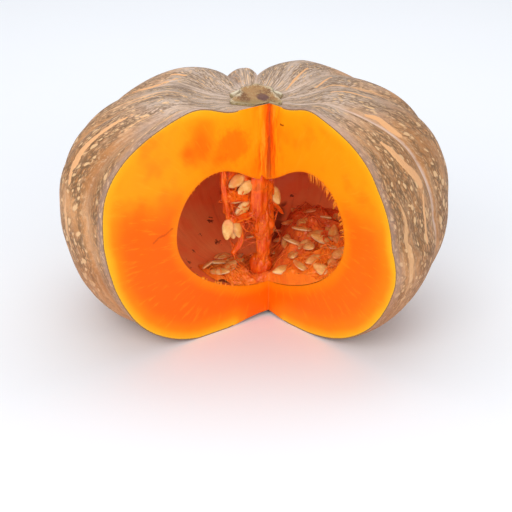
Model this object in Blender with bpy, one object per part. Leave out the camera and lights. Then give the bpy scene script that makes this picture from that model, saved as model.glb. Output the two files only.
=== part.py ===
# A pumpkin with a wedge cut out of it: one ribbed body of flesh and rind, the corky stub
# of its stem, and the stringy pulp with its seeds, hanging and lying in the hollow.
# Metres, +Z up, standing at z = 0. Everything is laid out round the core line that the
# ribs run round, and is moved at the end so that the origin is under the middle of the
# cut fruit's footprint. Bearings are in degrees from +X, and the wedge opens to -Y.

import math

import bmesh
import bpy
import numpy as np
from mathutils import Matrix, Vector

# The fruit's outside
RADIUS = 0.135
WIDEST_LEVEL = 0.0865
SHOULDER_HEIGHT = 0.0844
KEEL_DEPTH = 0.0899
FULLNESS_ABOVE = 1.036
FULLNESS_BELOW = 0.55
SHOULDER_ROUNDNESS = 0.666
KEEL_ROUNDNESS = 1.072
GROOVE_REACH = 0.06
BLOSSOM_DIMPLE = 0.008
BLOSSOM_WIDTH = 0.035
SEAT_RADIUS = 0.0265
SEAT_DEPTH = 0.0134
SEAT_OUTER = 0.073
SEAT_FLARE = 1.59
COLUMN_DEGREES = 4.5

# Each rib starts at a groove: its bearing and depth, then how far the rib outgrows the
# others above and below the widest level
RIBS = (
    (-53.0, 0.0065, -0.115, 0.022),
    (-18.0, 0.0065, -0.005, 0.022),
    (15.0, 0.0065, 0.035, 0.000),
    (38.0, 0.0065, 0.101, 0.000),
    (87.0, 0.0085, -0.045, 0.000),
    (104.0, 0.0110, 0.046, 0.000),
    (155.0, 0.0065, -0.051, -0.002),
    (190.0, 0.0065, 0.020, -0.010),
    (215.0, 0.0065, -0.017, -0.039),
    (261.0, 0.0065, -0.020, 0.051),
)

# The missing wedge: the upright line where both cuts meet, and the cuts' bearings
APEX = (0.0117, -0.0080)
LEFT_CUT = 218.3
RIGHT_CUT = -48.2
CUT_REACH = 0.4

# The hollow
HOLLOW_CENTRE = (0.0084, -0.0023)
HOLLOW_RADIUS = 0.0792
HOLLOW_LEVEL = 0.0775
HOLLOW_UP = 0.0481
HOLLOW_DOWN = 0.0520
ROUNDNESS_UP = 0.67
ROUNDNESS_DOWN = 1.12
CEILING_BOSS = 0.0230
BOSS_WIDTH = 0.0341
CLEARANCE = 0.0004

# The stem's stub: its ridges' bearings, its outline, and the slanting cut across it
STEM_CENTRE = (0.003, 0.0)
STEM_RIDGES = (-35.0, 30.0, 92.0, 150.0, 207.0)
RIDGE_WIDTH = 17.0
STEM_LEVELS = (
    # height above the seat, radius, how far the ridges stand out as a share of it
    (0.0000, 0.0172, 0.24),
    (0.0014, 0.0168, 0.26),
    (0.0030, 0.0142, 0.28),
    (0.0052, 0.0116, 0.22),
    (0.0085, 0.0098, 0.16),
    (0.0160, 0.0088, 0.12),
)
STEM_CUT_LEVEL = 0.0044
STEM_CUT_SLOPE = 0.32

# Seeds and pulp
SEED_LENGTH = 0.0150
SEED_WIDTH = 0.0080
SEED_THICKNESS = 0.0030
SEED_RINGS = (0.10, 0.32, 0.62, 0.88)
SEED_SIDES = 6
SEED_SPACING = 0.0085
STRAND_SIDES = 6
STRAND_RINGS = 7
BED_LEVEL = 0.0340
BED_RISE = 0.0115
BED_BACK_DROP = 0.0120
BED_CELL = 0.006
BED_HUMPS = (
    # x, y, height, radius
    (0.038, 0.036, 0.0130, 0.024),
    (-0.020, -0.010, 0.0045, 0.018),
    (0.062, -0.016, 0.0050, 0.018),
)
BED_EDGE_DROP = 0.006
BED_EDGE_WIDTH = 0.009
BED_SEEDS = 40
SEED_BEDDING = 0.0030
RANDOM_SEED = 7
CORE_FOOT = (0.006, -0.002)
CORE_FOOT_RADIUS = 0.0145

# The strands of the hanging pulp: a path, and the radius at its start and its end
CORE_STRANDS = (
    (((0.0067, -0.0060, 0.1110), (0.0067, -0.0067, 0.0870), (0.0075, -0.0081, 0.0680),
      (0.0085, -0.0045, 0.0480), (0.0061, -0.0030, 0.0270)), 0.0052, 0.0034),
    (((0.0121, -0.0005, 0.1110), (0.0107, -0.0030, 0.0890), (0.0121, -0.0030, 0.0690),
      (0.0093, -0.0010, 0.0490), (0.0101, 0.0020, 0.0270)), 0.0036, 0.0030),
    (((0.0017, -0.0090, 0.1110), (0.0027, -0.0100, 0.0870), (0.0027, -0.0100, 0.0690),
      (0.0061, -0.0060, 0.0530), (0.0019, -0.0050, 0.0270)), 0.0038, 0.0028),
    (((-0.0075, -0.0130, 0.1160), (-0.0037, -0.0105, 0.0970), (-0.0005, -0.0100, 0.0870),
      (0.0039, -0.0090, 0.0750)), 0.0044, 0.0038),
    (((-0.0197, -0.0286, 0.1210), (-0.0191, -0.0282, 0.1010), (-0.0171, -0.0267, 0.0900),
      (-0.0159, -0.0260, 0.0790)), 0.0030, 0.0018),
    (((-0.0181, -0.0270, 0.0980), (-0.0126, -0.0220, 0.0950), (-0.0031, -0.0135, 0.0910)),
     0.0032, 0.0034),
    (((-0.0141, -0.0238, 0.0780), (-0.0063, -0.0167, 0.0780), (0.0019, -0.0104, 0.0780)),
     0.0026, 0.0036),
    (((-0.0101, -0.0205, 0.0770), (-0.0077, -0.0160, 0.0630), (-0.0111, -0.0165, 0.0540),
      (-0.0141, -0.0170, 0.0500)), 0.0024, 0.0018),
    (((0.0113, -0.0030, 0.1080), (0.0137, -0.0013, 0.0870), (0.0173, 0.0008, 0.0790),
      (0.0221, 0.0040, 0.0720)), 0.0027, 0.0011),
)
# Soft clots on the strands: centre, half sizes, turn about the upright in degrees
CORE_CLOTS = (
    ((0.0073, -0.0065, 0.0680), (0.0094, 0.0066, 0.0120), 20.0),
    ((0.0065, -0.0058, 0.0940), (0.0100, 0.0062, 0.0105), 30.0),
    ((-0.0149, -0.0244, 0.0955), (0.0050, 0.0036, 0.0056), 40.0),
    ((-0.0136, -0.0235, 0.0790), (0.0042, 0.0034, 0.0036), 35.0),
    ((0.0059, -0.0020, 0.0370), (0.0090, 0.0085, 0.0090), 0.0),
)
# Seeds hanging in the pulp: pointed end, direction, the way the flat side faces
CORE_SEEDS = (
    ((-0.0055, -0.0142, 0.1075), (-0.69, -0.64, -0.34), (0.50, -0.80, 0.30)),
    ((0.0006, -0.0120, 0.1020), (-0.70, -0.60, -0.38), (0.45, -0.80, 0.40)),
    ((-0.0039, -0.0142, 0.0955), (-0.76, -0.55, -0.30), (0.30, -0.70, 0.60)),
    ((-0.0020, -0.0128, 0.0880), (-0.66, -0.52, -0.54), (0.50, -0.85, 0.10)),
    ((-0.0159, -0.0260, 0.0805), (-0.10, -0.18, -0.98), (0.10, -1.00, 0.20)),
    ((-0.0121, -0.0220, 0.0795), (0.24, 0.00, -0.97), (0.60, -0.80, 0.00)),
    ((-0.0141, -0.0226, 0.0785), (0.10, 0.10, -0.99), (0.30, -1.00, 0.00)),
    ((0.0134, -0.0016, 0.0950), (0.36, 0.10, -0.93), (0.50, -0.85, 0.10)),
    ((-0.0031, -0.0100, 0.1050), (-0.50, 0.70, -0.50), (-0.80, -0.50, 0.10)),
    ((0.0077, -0.0032, 0.0945), (-0.30, 0.85, -0.40), (0.70, 0.30, 0.60)),
    ((0.0111, -0.0018, 0.0850), (0.50, 0.75, -0.40), (0.60, -0.50, 0.60)),
    ((0.0009, -0.0070, 0.0780), (-0.60, 0.65, -0.45), (0.30, 0.60, 0.70)),
    ((0.0109, -0.0022, 0.0650), (0.35, 0.85, -0.35), (0.80, -0.20, 0.50)),
    ((0.0051, -0.0068, 0.0600), (-0.60, 0.70, -0.35), (-0.20, 0.40, 0.90)),
)
# Seeds seen lying on the bed: x and y of the middle, heading and lift in degrees
BED_SEEDS_SEEN = (
    (-0.0130, 0.0050, 15.0, 4.0),
    (-0.0010, -0.0145, 30.0, 6.0),
    (-0.0225, -0.0180, -20.0, 6.0),
    (-0.0265, -0.0090, 35.0, 5.0),
    (-0.0150, -0.0090, 60.0, 8.0),
    (0.0356, 0.0160, 172.0, 5.0),
    (0.0459, 0.0140, 28.0, 4.0),
    (0.0579, 0.0080, 82.0, 38.0),
    (0.0546, -0.0140, 176.0, 3.0),
    (0.0599, -0.0290, 52.0, 12.0),
    (0.0560, -0.0330, 70.0, 10.0),
    (0.0249, 0.0140, 85.0, 24.0),
)

RIND_COLOUR = (0.36, 0.29, 0.22, 1.0)
FLESH_COLOUR = (0.95, 0.38, 0.02, 1.0)
STEM_COLOUR = (0.42, 0.34, 0.20, 1.0)
PULP_COLOUR = (0.85, 0.20, 0.03, 1.0)


def smooth_step(low, high, value):
    share = np.clip((value - low) / (high - low), 0.0, 1.0)
    return share * share * (3.0 - 2.0 * share)


def rib_shape(bearing):
    """Nearness to a rib's crest (0 in a groove, 1 on it), groove depth, and growth above and below."""
    starts, depths, above, below = np.array(RIBS).T
    ends = np.append(starts[1:], starts[0] + 360.0)
    degrees = (np.degrees(bearing) - starts[0]) % 360.0 + starts[0]
    rib = np.clip(np.searchsorted(starts, degrees, side="right") - 1, 0, len(RIBS) - 1)
    along = (degrees - starts[rib]) / (ends[rib] - starts[rib])
    crest = np.clip(4.0 * along * (1.0 - along), 0.0, 1.0) ** 0.7
    depth = depths[rib] + (np.roll(depths, -1)[rib] - depths[rib]) * along
    middles = (starts + ends) / 2.0
    turns = np.concatenate([middles - 360.0, middles, middles + 360.0])
    growth_above = np.interp(degrees, turns, np.tile(above, 3))
    growth_below = np.interp(degrees, turns, np.tile(below, 3))
    return crest, depth, growth_above, growth_below


def rind_points(bearing, slope):
    """The outside of the fruit round its core line. The slope is +90 degrees at the stem."""
    out = np.maximum(np.cos(slope), 0.0)
    up = np.sin(slope)
    fullness = FULLNESS_BELOW + (FULLNESS_ABOVE - FULLNESS_BELOW) * smooth_step(-0.15, 0.15, up)
    plain = RADIUS * out**fullness
    crest, depth, growth_above, growth_below = rib_shape(bearing)
    growth = growth_below + (growth_above - growth_below) * smooth_step(-0.35, 0.35, up)
    growth = growth * smooth_step(SEAT_RADIUS, SEAT_OUTER, plain)
    sunk = depth * (1.0 - crest) * smooth_step(SEAT_RADIUS, GROOVE_REACH, plain)
    rise = np.minimum(np.abs(up), math.sin(seat_slope()))
    shoulder = SHOULDER_HEIGHT * (1.0 + 0.5 * growth) * rise**SHOULDER_ROUNDNESS
    inward = 1.0 - smooth_step(SEAT_RADIUS, SEAT_OUTER, plain)
    shoulder = shoulder - SEAT_DEPTH * inward**SEAT_FLARE
    keel = BLOSSOM_DIMPLE * np.exp(-((plain / BLOSSOM_WIDTH) ** 2))
    keel = keel - KEEL_DEPTH * np.abs(up) ** KEEL_ROUNDNESS
    height = np.where(up > 0.0, shoulder, keel) - sunk * up
    spread = plain * (1.0 + growth) - sunk * out
    height = np.maximum(height + WIDEST_LEVEL, 0.0)
    return np.stack([spread * np.cos(bearing), spread * np.sin(bearing), height], axis=-1)


def seat_slope():
    """The slope at which the outside reaches the edge of the stem's flat seat."""
    return math.acos((SEAT_RADIUS / RADIUS) ** (1.0 / FULLNESS_ABOVE))


def seat_level():
    edge = rind_points(np.array([0.0]), np.array([math.radians(90.0)]))
    return float(edge[0, 2])


def hollow_points(bearing, slope, inset=0.0):
    """The wall of the hollow, drawn in by inset on every side."""
    out = np.maximum(np.cos(slope), 0.0)
    up = np.sin(slope)
    roundness = ROUNDNESS_DOWN + (ROUNDNESS_UP - ROUNDNESS_DOWN) * smooth_step(-0.2, 0.2, up)
    spread = (HOLLOW_RADIUS - inset) * out**roundness
    rise = np.where(up > 0.0, HOLLOW_UP, HOLLOW_DOWN) * up - inset * up
    boss = CEILING_BOSS * np.exp(-((spread / BOSS_WIDTH) ** 2)) * (up > 0.0)
    x = HOLLOW_CENTRE[0] + spread * np.cos(bearing)
    y = HOLLOW_CENTRE[1] + spread * np.sin(bearing)
    return np.stack([x, y, HOLLOW_LEVEL + rise - boss], axis=-1)


def within_bowl(point, inset):
    """Whether a point in the lower half of the hollow is at least inset from its wall."""
    reach = math.hypot(point.x - HOLLOW_CENTRE[0], point.y - HOLLOW_CENTRE[1])
    drop = max(HOLLOW_LEVEL - point.z, 0.0) / (HOLLOW_DOWN - inset)
    if drop >= 1.0:
        return False
    return reach < (HOLLOW_RADIUS - inset) * math.sqrt(1.0 - drop * drop) ** ROUNDNESS_DOWN


def footprint_centre():
    """The middle of the cut fruit's footprint, which the origin is put under."""
    kept = np.radians(np.linspace(RIGHT_CUT, LEFT_CUT, 541))
    slopes = np.radians(np.linspace(-60.0, 60.0, 121))
    bearing, slope = np.meshgrid(kept, slopes)
    points = rind_points(bearing, slope).reshape(-1, 3)
    middle = (points.min(axis=0) + points.max(axis=0)) / 2.0
    return Vector((middle[0], middle[1], 0.0))


def new_object(name, mesh, material=None):
    obj = bpy.data.objects.new(name, mesh)
    bpy.context.scene.collection.objects.link(obj)
    if material:
        mesh.materials.append(material)
    return obj


def principled(name, colour, roughness):
    material = bpy.data.materials.new(name)
    material.use_nodes = True
    shader = material.node_tree.nodes["Principled BSDF"]
    shader.inputs["Base Color"].default_value = colour
    shader.inputs["Roughness"].default_value = roughness
    shader.inputs["Metallic"].default_value = 0.0
    return material


def ball_mesh(name, rings, bottom, top):
    """A closed mesh from rings of points, listed bottom to top, with one point at each end."""
    levels, count = rings.shape[0], rings.shape[1]
    points = [tuple(bottom)] + [tuple(p) for ring in rings for p in ring] + [tuple(top)]
    faces = []
    for i in range(count):
        j = (i + 1) % count
        faces.append((0, 1 + j, 1 + i))
        for level in range(levels - 1):
            low = 1 + level * count
            high = low + count
            faces.append((low + i, low + j, high + j, high + i))
        low = 1 + (levels - 1) * count
        faces.append((low + i, low + j, len(points) - 1))
    mesh = bpy.data.meshes.new(name)
    mesh.from_pydata(points, [], faces)
    return mesh


def boolean(obj, operation, other, solver="EXACT"):
    """Carries out one Boolean with another object, which stays as it is."""
    modifier = obj.modifiers.new("Boolean", "BOOLEAN")
    modifier.operation = operation
    modifier.object = other
    modifier.solver = solver
    if solver == "EXACT":
        modifier.material_mode = "TRANSFER"
    apply_modifiers(obj)


def apply_modifiers(obj):
    bpy.context.view_layer.update()
    graph = bpy.context.evaluated_depsgraph_get()
    mesh = bpy.data.meshes.new_from_object(obj.evaluated_get(graph))
    obj.modifiers.clear()
    obj.data = mesh


def fuse(name, pieces, material):
    """One object from overlapping pieces, by a Boolean union on a collection of them."""
    base, others = pieces[0], pieces[1:]
    group = bpy.data.collections.new(name + "_pieces")
    bpy.context.scene.collection.children.link(group)
    for piece in others:
        bpy.context.scene.collection.objects.unlink(piece)
        group.objects.link(piece)
    modifier = base.modifiers.new("Join", "BOOLEAN")
    modifier.operation = "UNION"
    modifier.operand_type = "COLLECTION"
    modifier.collection = group
    modifier.solver = "MANIFOLD"
    apply_modifiers(base)
    for piece in others:
        bpy.data.objects.remove(piece)
    bpy.data.collections.remove(group)
    base.name = name
    base.data.materials.clear()
    base.data.materials.append(material)
    return base


def smooth_with_edges(obj, sharpest):
    """Smooth shading that keeps edges sharper than this many degrees."""
    obj.data.shade_smooth()
    obj.data.set_sharp_from_angle(angle=math.radians(sharpest))


def wedge_cutter(material):
    """The piece that is cut out: a prism between the two cuts, taller than the fruit."""
    corners = [Vector((APEX[0], APEX[1], -0.05))]
    for bearing in (LEFT_CUT, (LEFT_CUT + RIGHT_CUT + 360.0) / 2.0, RIGHT_CUT + 360.0):
        angle = math.radians(bearing)
        corners.append(corners[0] + Vector((math.cos(angle), math.sin(angle), 0.0)) * CUT_REACH)
    shape = bmesh.new()
    face = shape.faces.new([shape.verts.new(corner) for corner in corners])
    made = bmesh.ops.extrude_face_region(shape, geom=[face])
    raised = [item for item in made["geom"] if isinstance(item, bmesh.types.BMVert)]
    bmesh.ops.translate(shape, verts=raised, vec=(0.0, 0.0, 0.4))
    bmesh.ops.recalc_face_normals(shape, faces=shape.faces)
    mesh = bpy.data.meshes.new("wedge_cutter")
    shape.to_mesh(mesh)
    shape.free()
    return new_object("wedge_cutter", mesh, material)


def body_slopes():
    """Slopes of the rows of points, closer together where the outside bends most."""
    below = [-86, -82, -78, -74, -69, -63, -56, -48, -40, -31, -22, -13, -6, 0]
    above = [1, 3, 6, 10, 15, 21, 28, 36, 44, 52, 60, 67, 73, 76.5]
    return np.append(np.radians(below + above), [seat_slope(), math.radians(85.0)])


def rib_bearings():
    """Bearings of the columns of points, with one in each groove."""
    starts = [rib[0] for rib in RIBS]
    ends = starts[1:] + [starts[0] + 360.0]
    bearings = []
    for start, end in zip(starts, ends):
        count = max(4, round((end - start) / COLUMN_DEGREES))
        bearings.extend(start + (end - start) * i / count for i in range(count))
    return np.radians(bearings)


def make_body(cutter, rind, flesh):
    bearing, slope = np.meshgrid(rib_bearings(), body_slopes())
    rings = rind_points(bearing, slope)
    bottom, top = rind_points(np.zeros(2), np.radians([-90.0, 90.0]))
    body = new_object("pumpkin_body", ball_mesh("pumpkin_body", rings, bottom, top), rind)
    hollow = make_hollow("hollow_cutter", 0.0, flesh)
    boolean(body, "DIFFERENCE", hollow)
    boolean(body, "DIFFERENCE", cutter)
    bpy.data.objects.remove(hollow)
    smooth_with_edges(body, 40.0)


def make_hollow(name, inset, material):
    bearings = np.radians(np.arange(0.0, 360.0, 9.0))
    bearing, slope = np.meshgrid(bearings, np.radians(np.linspace(-80.0, 80.0, 15)))
    rings = hollow_points(bearing, slope, inset)
    bottom, top = hollow_points(np.zeros(2), np.radians([-90.0, 90.0]), inset)
    return new_object(name, ball_mesh(name, rings, bottom, top), material)


def make_stem(cutter, material):
    """A ridged stub that flares out on its seat, cut across aslant."""
    seat = seat_level() + CLEARANCE
    turn = np.radians(np.arange(0.0, 360.0, 9.0))
    ridge = np.zeros(len(turn))
    for bearing in STEM_RIDGES:
        apart = (np.degrees(turn) - bearing + 180.0) % 360.0 - 180.0
        ridge = ridge + np.exp(-((apart / RIDGE_WIDTH) ** 2))
    rings = []
    for height, radius, stands in STEM_LEVELS:
        spread = radius * (1.0 + stands * ridge)
        x = STEM_CENTRE[0] + spread * np.cos(turn)
        y = STEM_CENTRE[1] + spread * np.sin(turn)
        rings.append(np.stack([x, y, np.full(len(turn), seat + height)], axis=-1))
    foot = (*STEM_CENTRE, seat)
    top = (*STEM_CENTRE, seat + STEM_LEVELS[-1][0])
    stem = new_object("stem", ball_mesh("stem", np.array(rings), foot, top), material)
    boolean(stem, "DIFFERENCE", cutter)
    knife = slanting_block(seat + STEM_CUT_LEVEL)
    boolean(stem, "DIFFERENCE", knife)
    bpy.data.objects.remove(knife)
    smooth_with_edges(stem, 35.0)


def slanting_block(level):
    """A block whose under side is the stem's slanting cut."""
    shape = bmesh.new()
    bmesh.ops.create_cube(shape, size=0.1)
    for vertex in shape.verts:
        upper = vertex.co.z > 0.0
        vertex.co.z = level + (0.1 if upper else STEM_CUT_SLOPE * vertex.co.y)
        vertex.co += Vector((*STEM_CENTRE, 0.0))
    mesh = bpy.data.meshes.new("slanting_block")
    shape.to_mesh(mesh)
    shape.free()
    return new_object("slanting_block", mesh)


def curve_through(points, count):
    """Points spaced along a Catmull-Rom curve through the given ones."""
    knots = [Vector(point) for point in points]
    knots = [2 * knots[0] - knots[1]] + knots + [2 * knots[-1] - knots[-2]]
    path = []
    for step in range(count):
        place = step / (count - 1) * (len(points) - 1)
        i = min(int(place), len(points) - 2)
        t = place - i
        a, b, c, d = knots[i : i + 4]
        bend = (2 * a - 5 * b + 4 * c - d) * t**2 + (3 * b - a - 3 * c + d) * t**3
        path.append(0.5 * (2 * b + (c - a) * t + bend))
    return path


def make_strand(name, points, first, last):
    """A strand of pulp along a smooth path, its radius changing evenly from first to last."""
    path = curve_through(points, STRAND_RINGS)
    side = Vector((1.0, 0.3, 0.0))
    rings = []
    for i, centre in enumerate(path):
        ahead = (path[min(i + 1, STRAND_RINGS - 1)] - path[max(i - 1, 0)]).normalized()
        side = (side - ahead * side.dot(ahead)).normalized()
        other = ahead.cross(side)
        radius = first + (last - first) * i / (STRAND_RINGS - 1)
        turns = [2.0 * math.pi * k / STRAND_SIDES for k in range(STRAND_SIDES)]
        rings.append([centre + radius * (math.cos(t) * side + math.sin(t) * other) for t in turns])
    tail = path[0] - (path[1] - path[0]).normalized() * first * 0.6
    tip = path[-1] + (path[-1] - path[-2]).normalized() * last * 0.6
    return new_object(name, ball_mesh(name, np.array(rings), tail, tip))


def make_clot(name, centre, half_sizes, turn):
    """A soft clot of pulp: a ball drawn out to the given half sizes."""
    shape = bmesh.new()
    bmesh.ops.create_icosphere(shape, subdivisions=2, radius=1.0)
    mesh = bpy.data.meshes.new(name)
    shape.to_mesh(mesh)
    shape.free()
    drawn = Matrix.Rotation(math.radians(turn), 4, "Z") @ Matrix.Diagonal((*half_sizes, 1.0))
    mesh.transform(Matrix.Translation(centre) @ drawn)
    return new_object(name, mesh)


def make_seed(name, root, ahead, facing):
    """A flat seed from its pointed end at root, lying along ahead, with its flat side to facing."""
    turns = np.radians(np.arange(0.0, 360.0, 360.0 / SEED_SIDES))
    rings = []
    for share in SEED_RINGS:
        swell = math.sin(math.pi * share**0.8) ** 0.6
        y = SEED_WIDTH / 2.0 * swell * np.cos(turns)
        z = SEED_THICKNESS / 2.0 * swell**0.6 * np.sin(turns)
        rings.append(np.stack([np.full(SEED_SIDES, share * SEED_LENGTH), y, z], axis=-1))
    mesh = ball_mesh(name, np.array(rings), (0.0, 0.0, 0.0), (SEED_LENGTH, 0.0, 0.0))
    ahead = Vector(ahead).normalized()
    facing = Vector(facing)
    facing = (facing - ahead * facing.dot(ahead)).normalized()
    turn = Matrix((ahead, facing.cross(ahead), facing)).transposed().to_4x4()
    mesh.transform(Matrix.Translation(root) @ turn)
    return new_object(name, mesh)


def make_core(mould, material):
    """The pulp that hangs down the middle, trimmed to the hollow and clear of the bed."""
    pieces = []
    for i, (path, first, last) in enumerate(CORE_STRANDS):
        pieces.append(make_strand(f"strand_{i}", path, first, last))
    for i, (centre, half_sizes, turn) in enumerate(CORE_CLOTS):
        pieces.append(make_clot(f"clot_{i}", centre, half_sizes, turn))
    for i, (root, ahead, facing) in enumerate(CORE_SEEDS):
        pieces.append(make_seed(f"core_seed_{i}", root, ahead, facing))
    core = fuse("pulp_core", pieces, material)
    boolean(core, "INTERSECT", mould, "MANIFOLD")
    below = bed_block("below_core", CLEARANCE, material)
    boolean(core, "DIFFERENCE", below, "MANIFOLD")
    bpy.data.objects.remove(below)
    smooth_with_edges(core, 50.0)


def distance_behind_cuts(x, y):
    """How far points of the kept fruit are from the nearer of the two cuts."""
    away = []
    for bearing in (LEFT_CUT, RIGHT_CUT):
        along_x, along_y = math.cos(math.radians(bearing)), math.sin(math.radians(bearing))
        from_x, from_y = x - APEX[0], y - APEX[1]
        ahead = from_x * along_x + from_y * along_y
        aside = np.abs(from_x * along_y - from_y * along_x)
        away.append(np.where(ahead > 0.0, aside, np.hypot(from_x, from_y)))
    return np.minimum(away[0], away[1])


def bed_height(x, y):
    """The top of the pulp on the hollow's floor: heaped on the right, and bare behind on the left."""
    along = np.clip((x - HOLLOW_CENTRE[0]) / HOLLOW_RADIUS, 0.0, 1.0)
    deep = np.clip((y - HOLLOW_CENTRE[1]) / HOLLOW_RADIUS, -1.0, 1.0)
    to_right = smooth_step(0.005, 0.035, x)
    height = BED_LEVEL + BED_RISE * to_right + 0.012 * along**1.5 + 0.010 * along**2 * deep**2
    height = height - BED_BACK_DROP * smooth_step(0.008, 0.034, y) * (1.0 - to_right)
    for hump_x, hump_y, rise, radius in BED_HUMPS:
        away = np.hypot(x - hump_x, y - hump_y) / radius
        height = height + rise * np.exp(-(away**2))
    height = height - BED_EDGE_DROP * np.exp(-distance_behind_cuts(x, y) / BED_EDGE_WIDTH)
    clots = 0.0017 * np.sin(260.0 * x + 1.0) * np.sin(230.0 * y + 0.4)
    clots = clots + 0.0012 * np.sin(410.0 * x + 350.0 * y)
    return height + clots


def floor_level(x, y):
    """The height of the hollow's bare floor."""
    reach = min(math.hypot(x - HOLLOW_CENTRE[0], y - HOLLOW_CENTRE[1]) / HOLLOW_RADIUS, 1.0)
    return HOLLOW_LEVEL - HOLLOW_DOWN * math.sqrt(1.0 - reach ** (2.0 / ROUNDNESS_DOWN))


def bed_block(name, lift, material):
    """A block whose top is the bed's surface raised by lift."""
    ticks = np.arange(-0.090, 0.0961, BED_CELL)
    x, y = np.meshgrid(ticks + HOLLOW_CENTRE[0], ticks + HOLLOW_CENTRE[1])
    tops = np.stack([x, y, bed_height(x, y) + lift], axis=-1).reshape(-1, 3)
    floors = np.stack([x, y, np.full(x.shape, -0.01)], axis=-1).reshape(-1, 3)
    rows, columns = x.shape
    faces = []
    for row in range(rows - 1):
        for column in range(columns - 1):
            a = row * columns + column
            faces.append((a, a + 1, a + columns + 1))
            faces.append((a, a + columns + 1, a + columns))
            b = a + x.size
            faces.append((b, b + columns, b + columns + 1, b + 1))
    rim = list(range(columns))
    rim += [row * columns + columns - 1 for row in range(1, rows)]
    rim += [(rows - 1) * columns + column for column in range(columns - 2, -1, -1)]
    rim += [row * columns for row in range(rows - 2, 0, -1)]
    for here, after in zip(rim, rim[1:] + rim[:1]):
        faces.append((here, here + x.size, after + x.size, after))
    mesh = bpy.data.meshes.new(name)
    mesh.from_pydata(np.concatenate([tops, floors]).tolist(), [], faces)
    return new_object(name, mesh, material)


def bed_seed(name, x, y, heading, lift, roll):
    """A seed lying on the bed with its middle at x, y."""
    flat = math.cos(lift)
    ahead = Vector((flat * math.cos(heading), flat * math.sin(heading), math.sin(lift)))
    middle = Vector((x, y, float(bed_height(np.float64(x), np.float64(y))) + 0.0006))
    facing = (roll * math.sin(heading), -roll * math.cos(heading), 1.0)
    return make_seed(name, middle - ahead * SEED_LENGTH / 2.0, ahead, facing)


def make_bed_seeds():
    """The seeds that are seen on the bed, then others drawn evenly over it by a seeded rule."""
    draw = np.random.default_rng(RANDOM_SEED)
    seeds = []
    taken = []
    for x, y, heading, lift in BED_SEEDS_SEEN:
        seed = bed_seed("bed_seed", x, y, math.radians(heading), math.radians(lift), 0.2)
        if seed_fits(seed):
            seeds.append(seed)
            taken.append((x, y))
        else:
            bpy.data.objects.remove(seed)
    while len(seeds) < BED_SEEDS:
        bearing = math.radians(draw.uniform(RIGHT_CUT + 5.0, LEFT_CUT - 5.0))
        reach = HOLLOW_RADIUS * math.sqrt(draw.uniform(0.02, 0.80))
        x = HOLLOW_CENTRE[0] + reach * math.cos(bearing)
        y = HOLLOW_CENTRE[1] + reach * math.sin(bearing)
        heading = draw.uniform(0.0, 2.0 * math.pi)
        lift = draw.uniform(-0.10, 0.30)
        roll = draw.uniform(-0.8, 0.8)
        if any(math.hypot(x - a, y - b) < SEED_SPACING for a, b in taken):
            continue
        if bed_height(x, y) - floor_level(x, y) < SEED_BEDDING:
            continue
        seed = bed_seed("bed_seed", x, y, heading, lift, roll)
        if seed_fits(seed):
            seeds.append(seed)
            taken.append((x, y))
        else:
            bpy.data.objects.remove(seed)
    return seeds


def seed_fits(seed):
    """Whether a seed on the bed keeps clear of the hollow's wall and of the hanging pulp."""
    for vertex in seed.data.vertices:
        if not within_bowl(vertex.co, 3.0 * CLEARANCE):
            return False
        if math.hypot(vertex.co.x - CORE_FOOT[0], vertex.co.y - CORE_FOOT[1]) < CORE_FOOT_RADIUS:
            return False
    return True


def make_bed(mould, cutter, material):
    bed = bed_block("bed_block", 0.0, material)
    boolean(bed, "INTERSECT", mould, "MANIFOLD")
    boolean(bed, "DIFFERENCE", cutter, "MANIFOLD")
    bed = fuse("pulp_bed", [bed] + make_bed_seeds(), material)
    smooth_with_edges(bed, 50.0)


def main():
    for obj in list(bpy.data.objects):
        bpy.data.objects.remove(obj)
    rind = principled("rind", RIND_COLOUR, 0.55)
    flesh = principled("flesh", FLESH_COLOUR, 0.45)
    corky = principled("stem", STEM_COLOUR, 0.85)
    stringy = principled("pulp", PULP_COLOUR, 0.35)
    cutter = wedge_cutter(flesh)
    mould = make_hollow("hollow_mould", CLEARANCE, flesh)
    make_body(cutter, rind, flesh)
    make_stem(cutter, corky)
    make_core(mould, stringy)
    make_bed(mould, cutter, stringy)
    bpy.data.objects.remove(cutter)
    bpy.data.objects.remove(mould)
    to_origin = Matrix.Translation(-footprint_centre())
    for obj in bpy.data.objects:
        obj.data.transform(to_origin)


main()
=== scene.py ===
import itertools
import math

import bmesh
import bpy
import numpy as np
from mathutils import Matrix, Vector


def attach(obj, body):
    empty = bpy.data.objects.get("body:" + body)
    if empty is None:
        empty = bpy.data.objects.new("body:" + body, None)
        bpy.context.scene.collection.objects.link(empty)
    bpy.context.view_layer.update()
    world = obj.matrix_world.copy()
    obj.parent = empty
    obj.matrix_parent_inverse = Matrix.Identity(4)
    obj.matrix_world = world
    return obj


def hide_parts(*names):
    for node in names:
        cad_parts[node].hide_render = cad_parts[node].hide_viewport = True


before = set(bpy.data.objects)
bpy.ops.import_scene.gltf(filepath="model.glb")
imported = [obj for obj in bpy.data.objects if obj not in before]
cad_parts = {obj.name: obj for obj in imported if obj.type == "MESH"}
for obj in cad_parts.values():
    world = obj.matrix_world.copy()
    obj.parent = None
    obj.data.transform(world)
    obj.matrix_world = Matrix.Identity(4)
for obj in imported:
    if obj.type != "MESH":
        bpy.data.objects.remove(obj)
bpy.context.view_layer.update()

# Metres, +Z up. Shapes are worked out round the core line that the ribs run round, and moved
# to the frame's origin as each mesh is made. Bearings go round from +X, slopes go up to the
# stem at 90 degrees.
coreLine = np.array([-0.002093, -0.016608, 0.0])
apex = np.array([0.0117, -0.0080])  # the upright line where both cuts meet
leftCut = math.radians(218.3)
rightCut = math.radians(-48.2)


# Numbers

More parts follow.
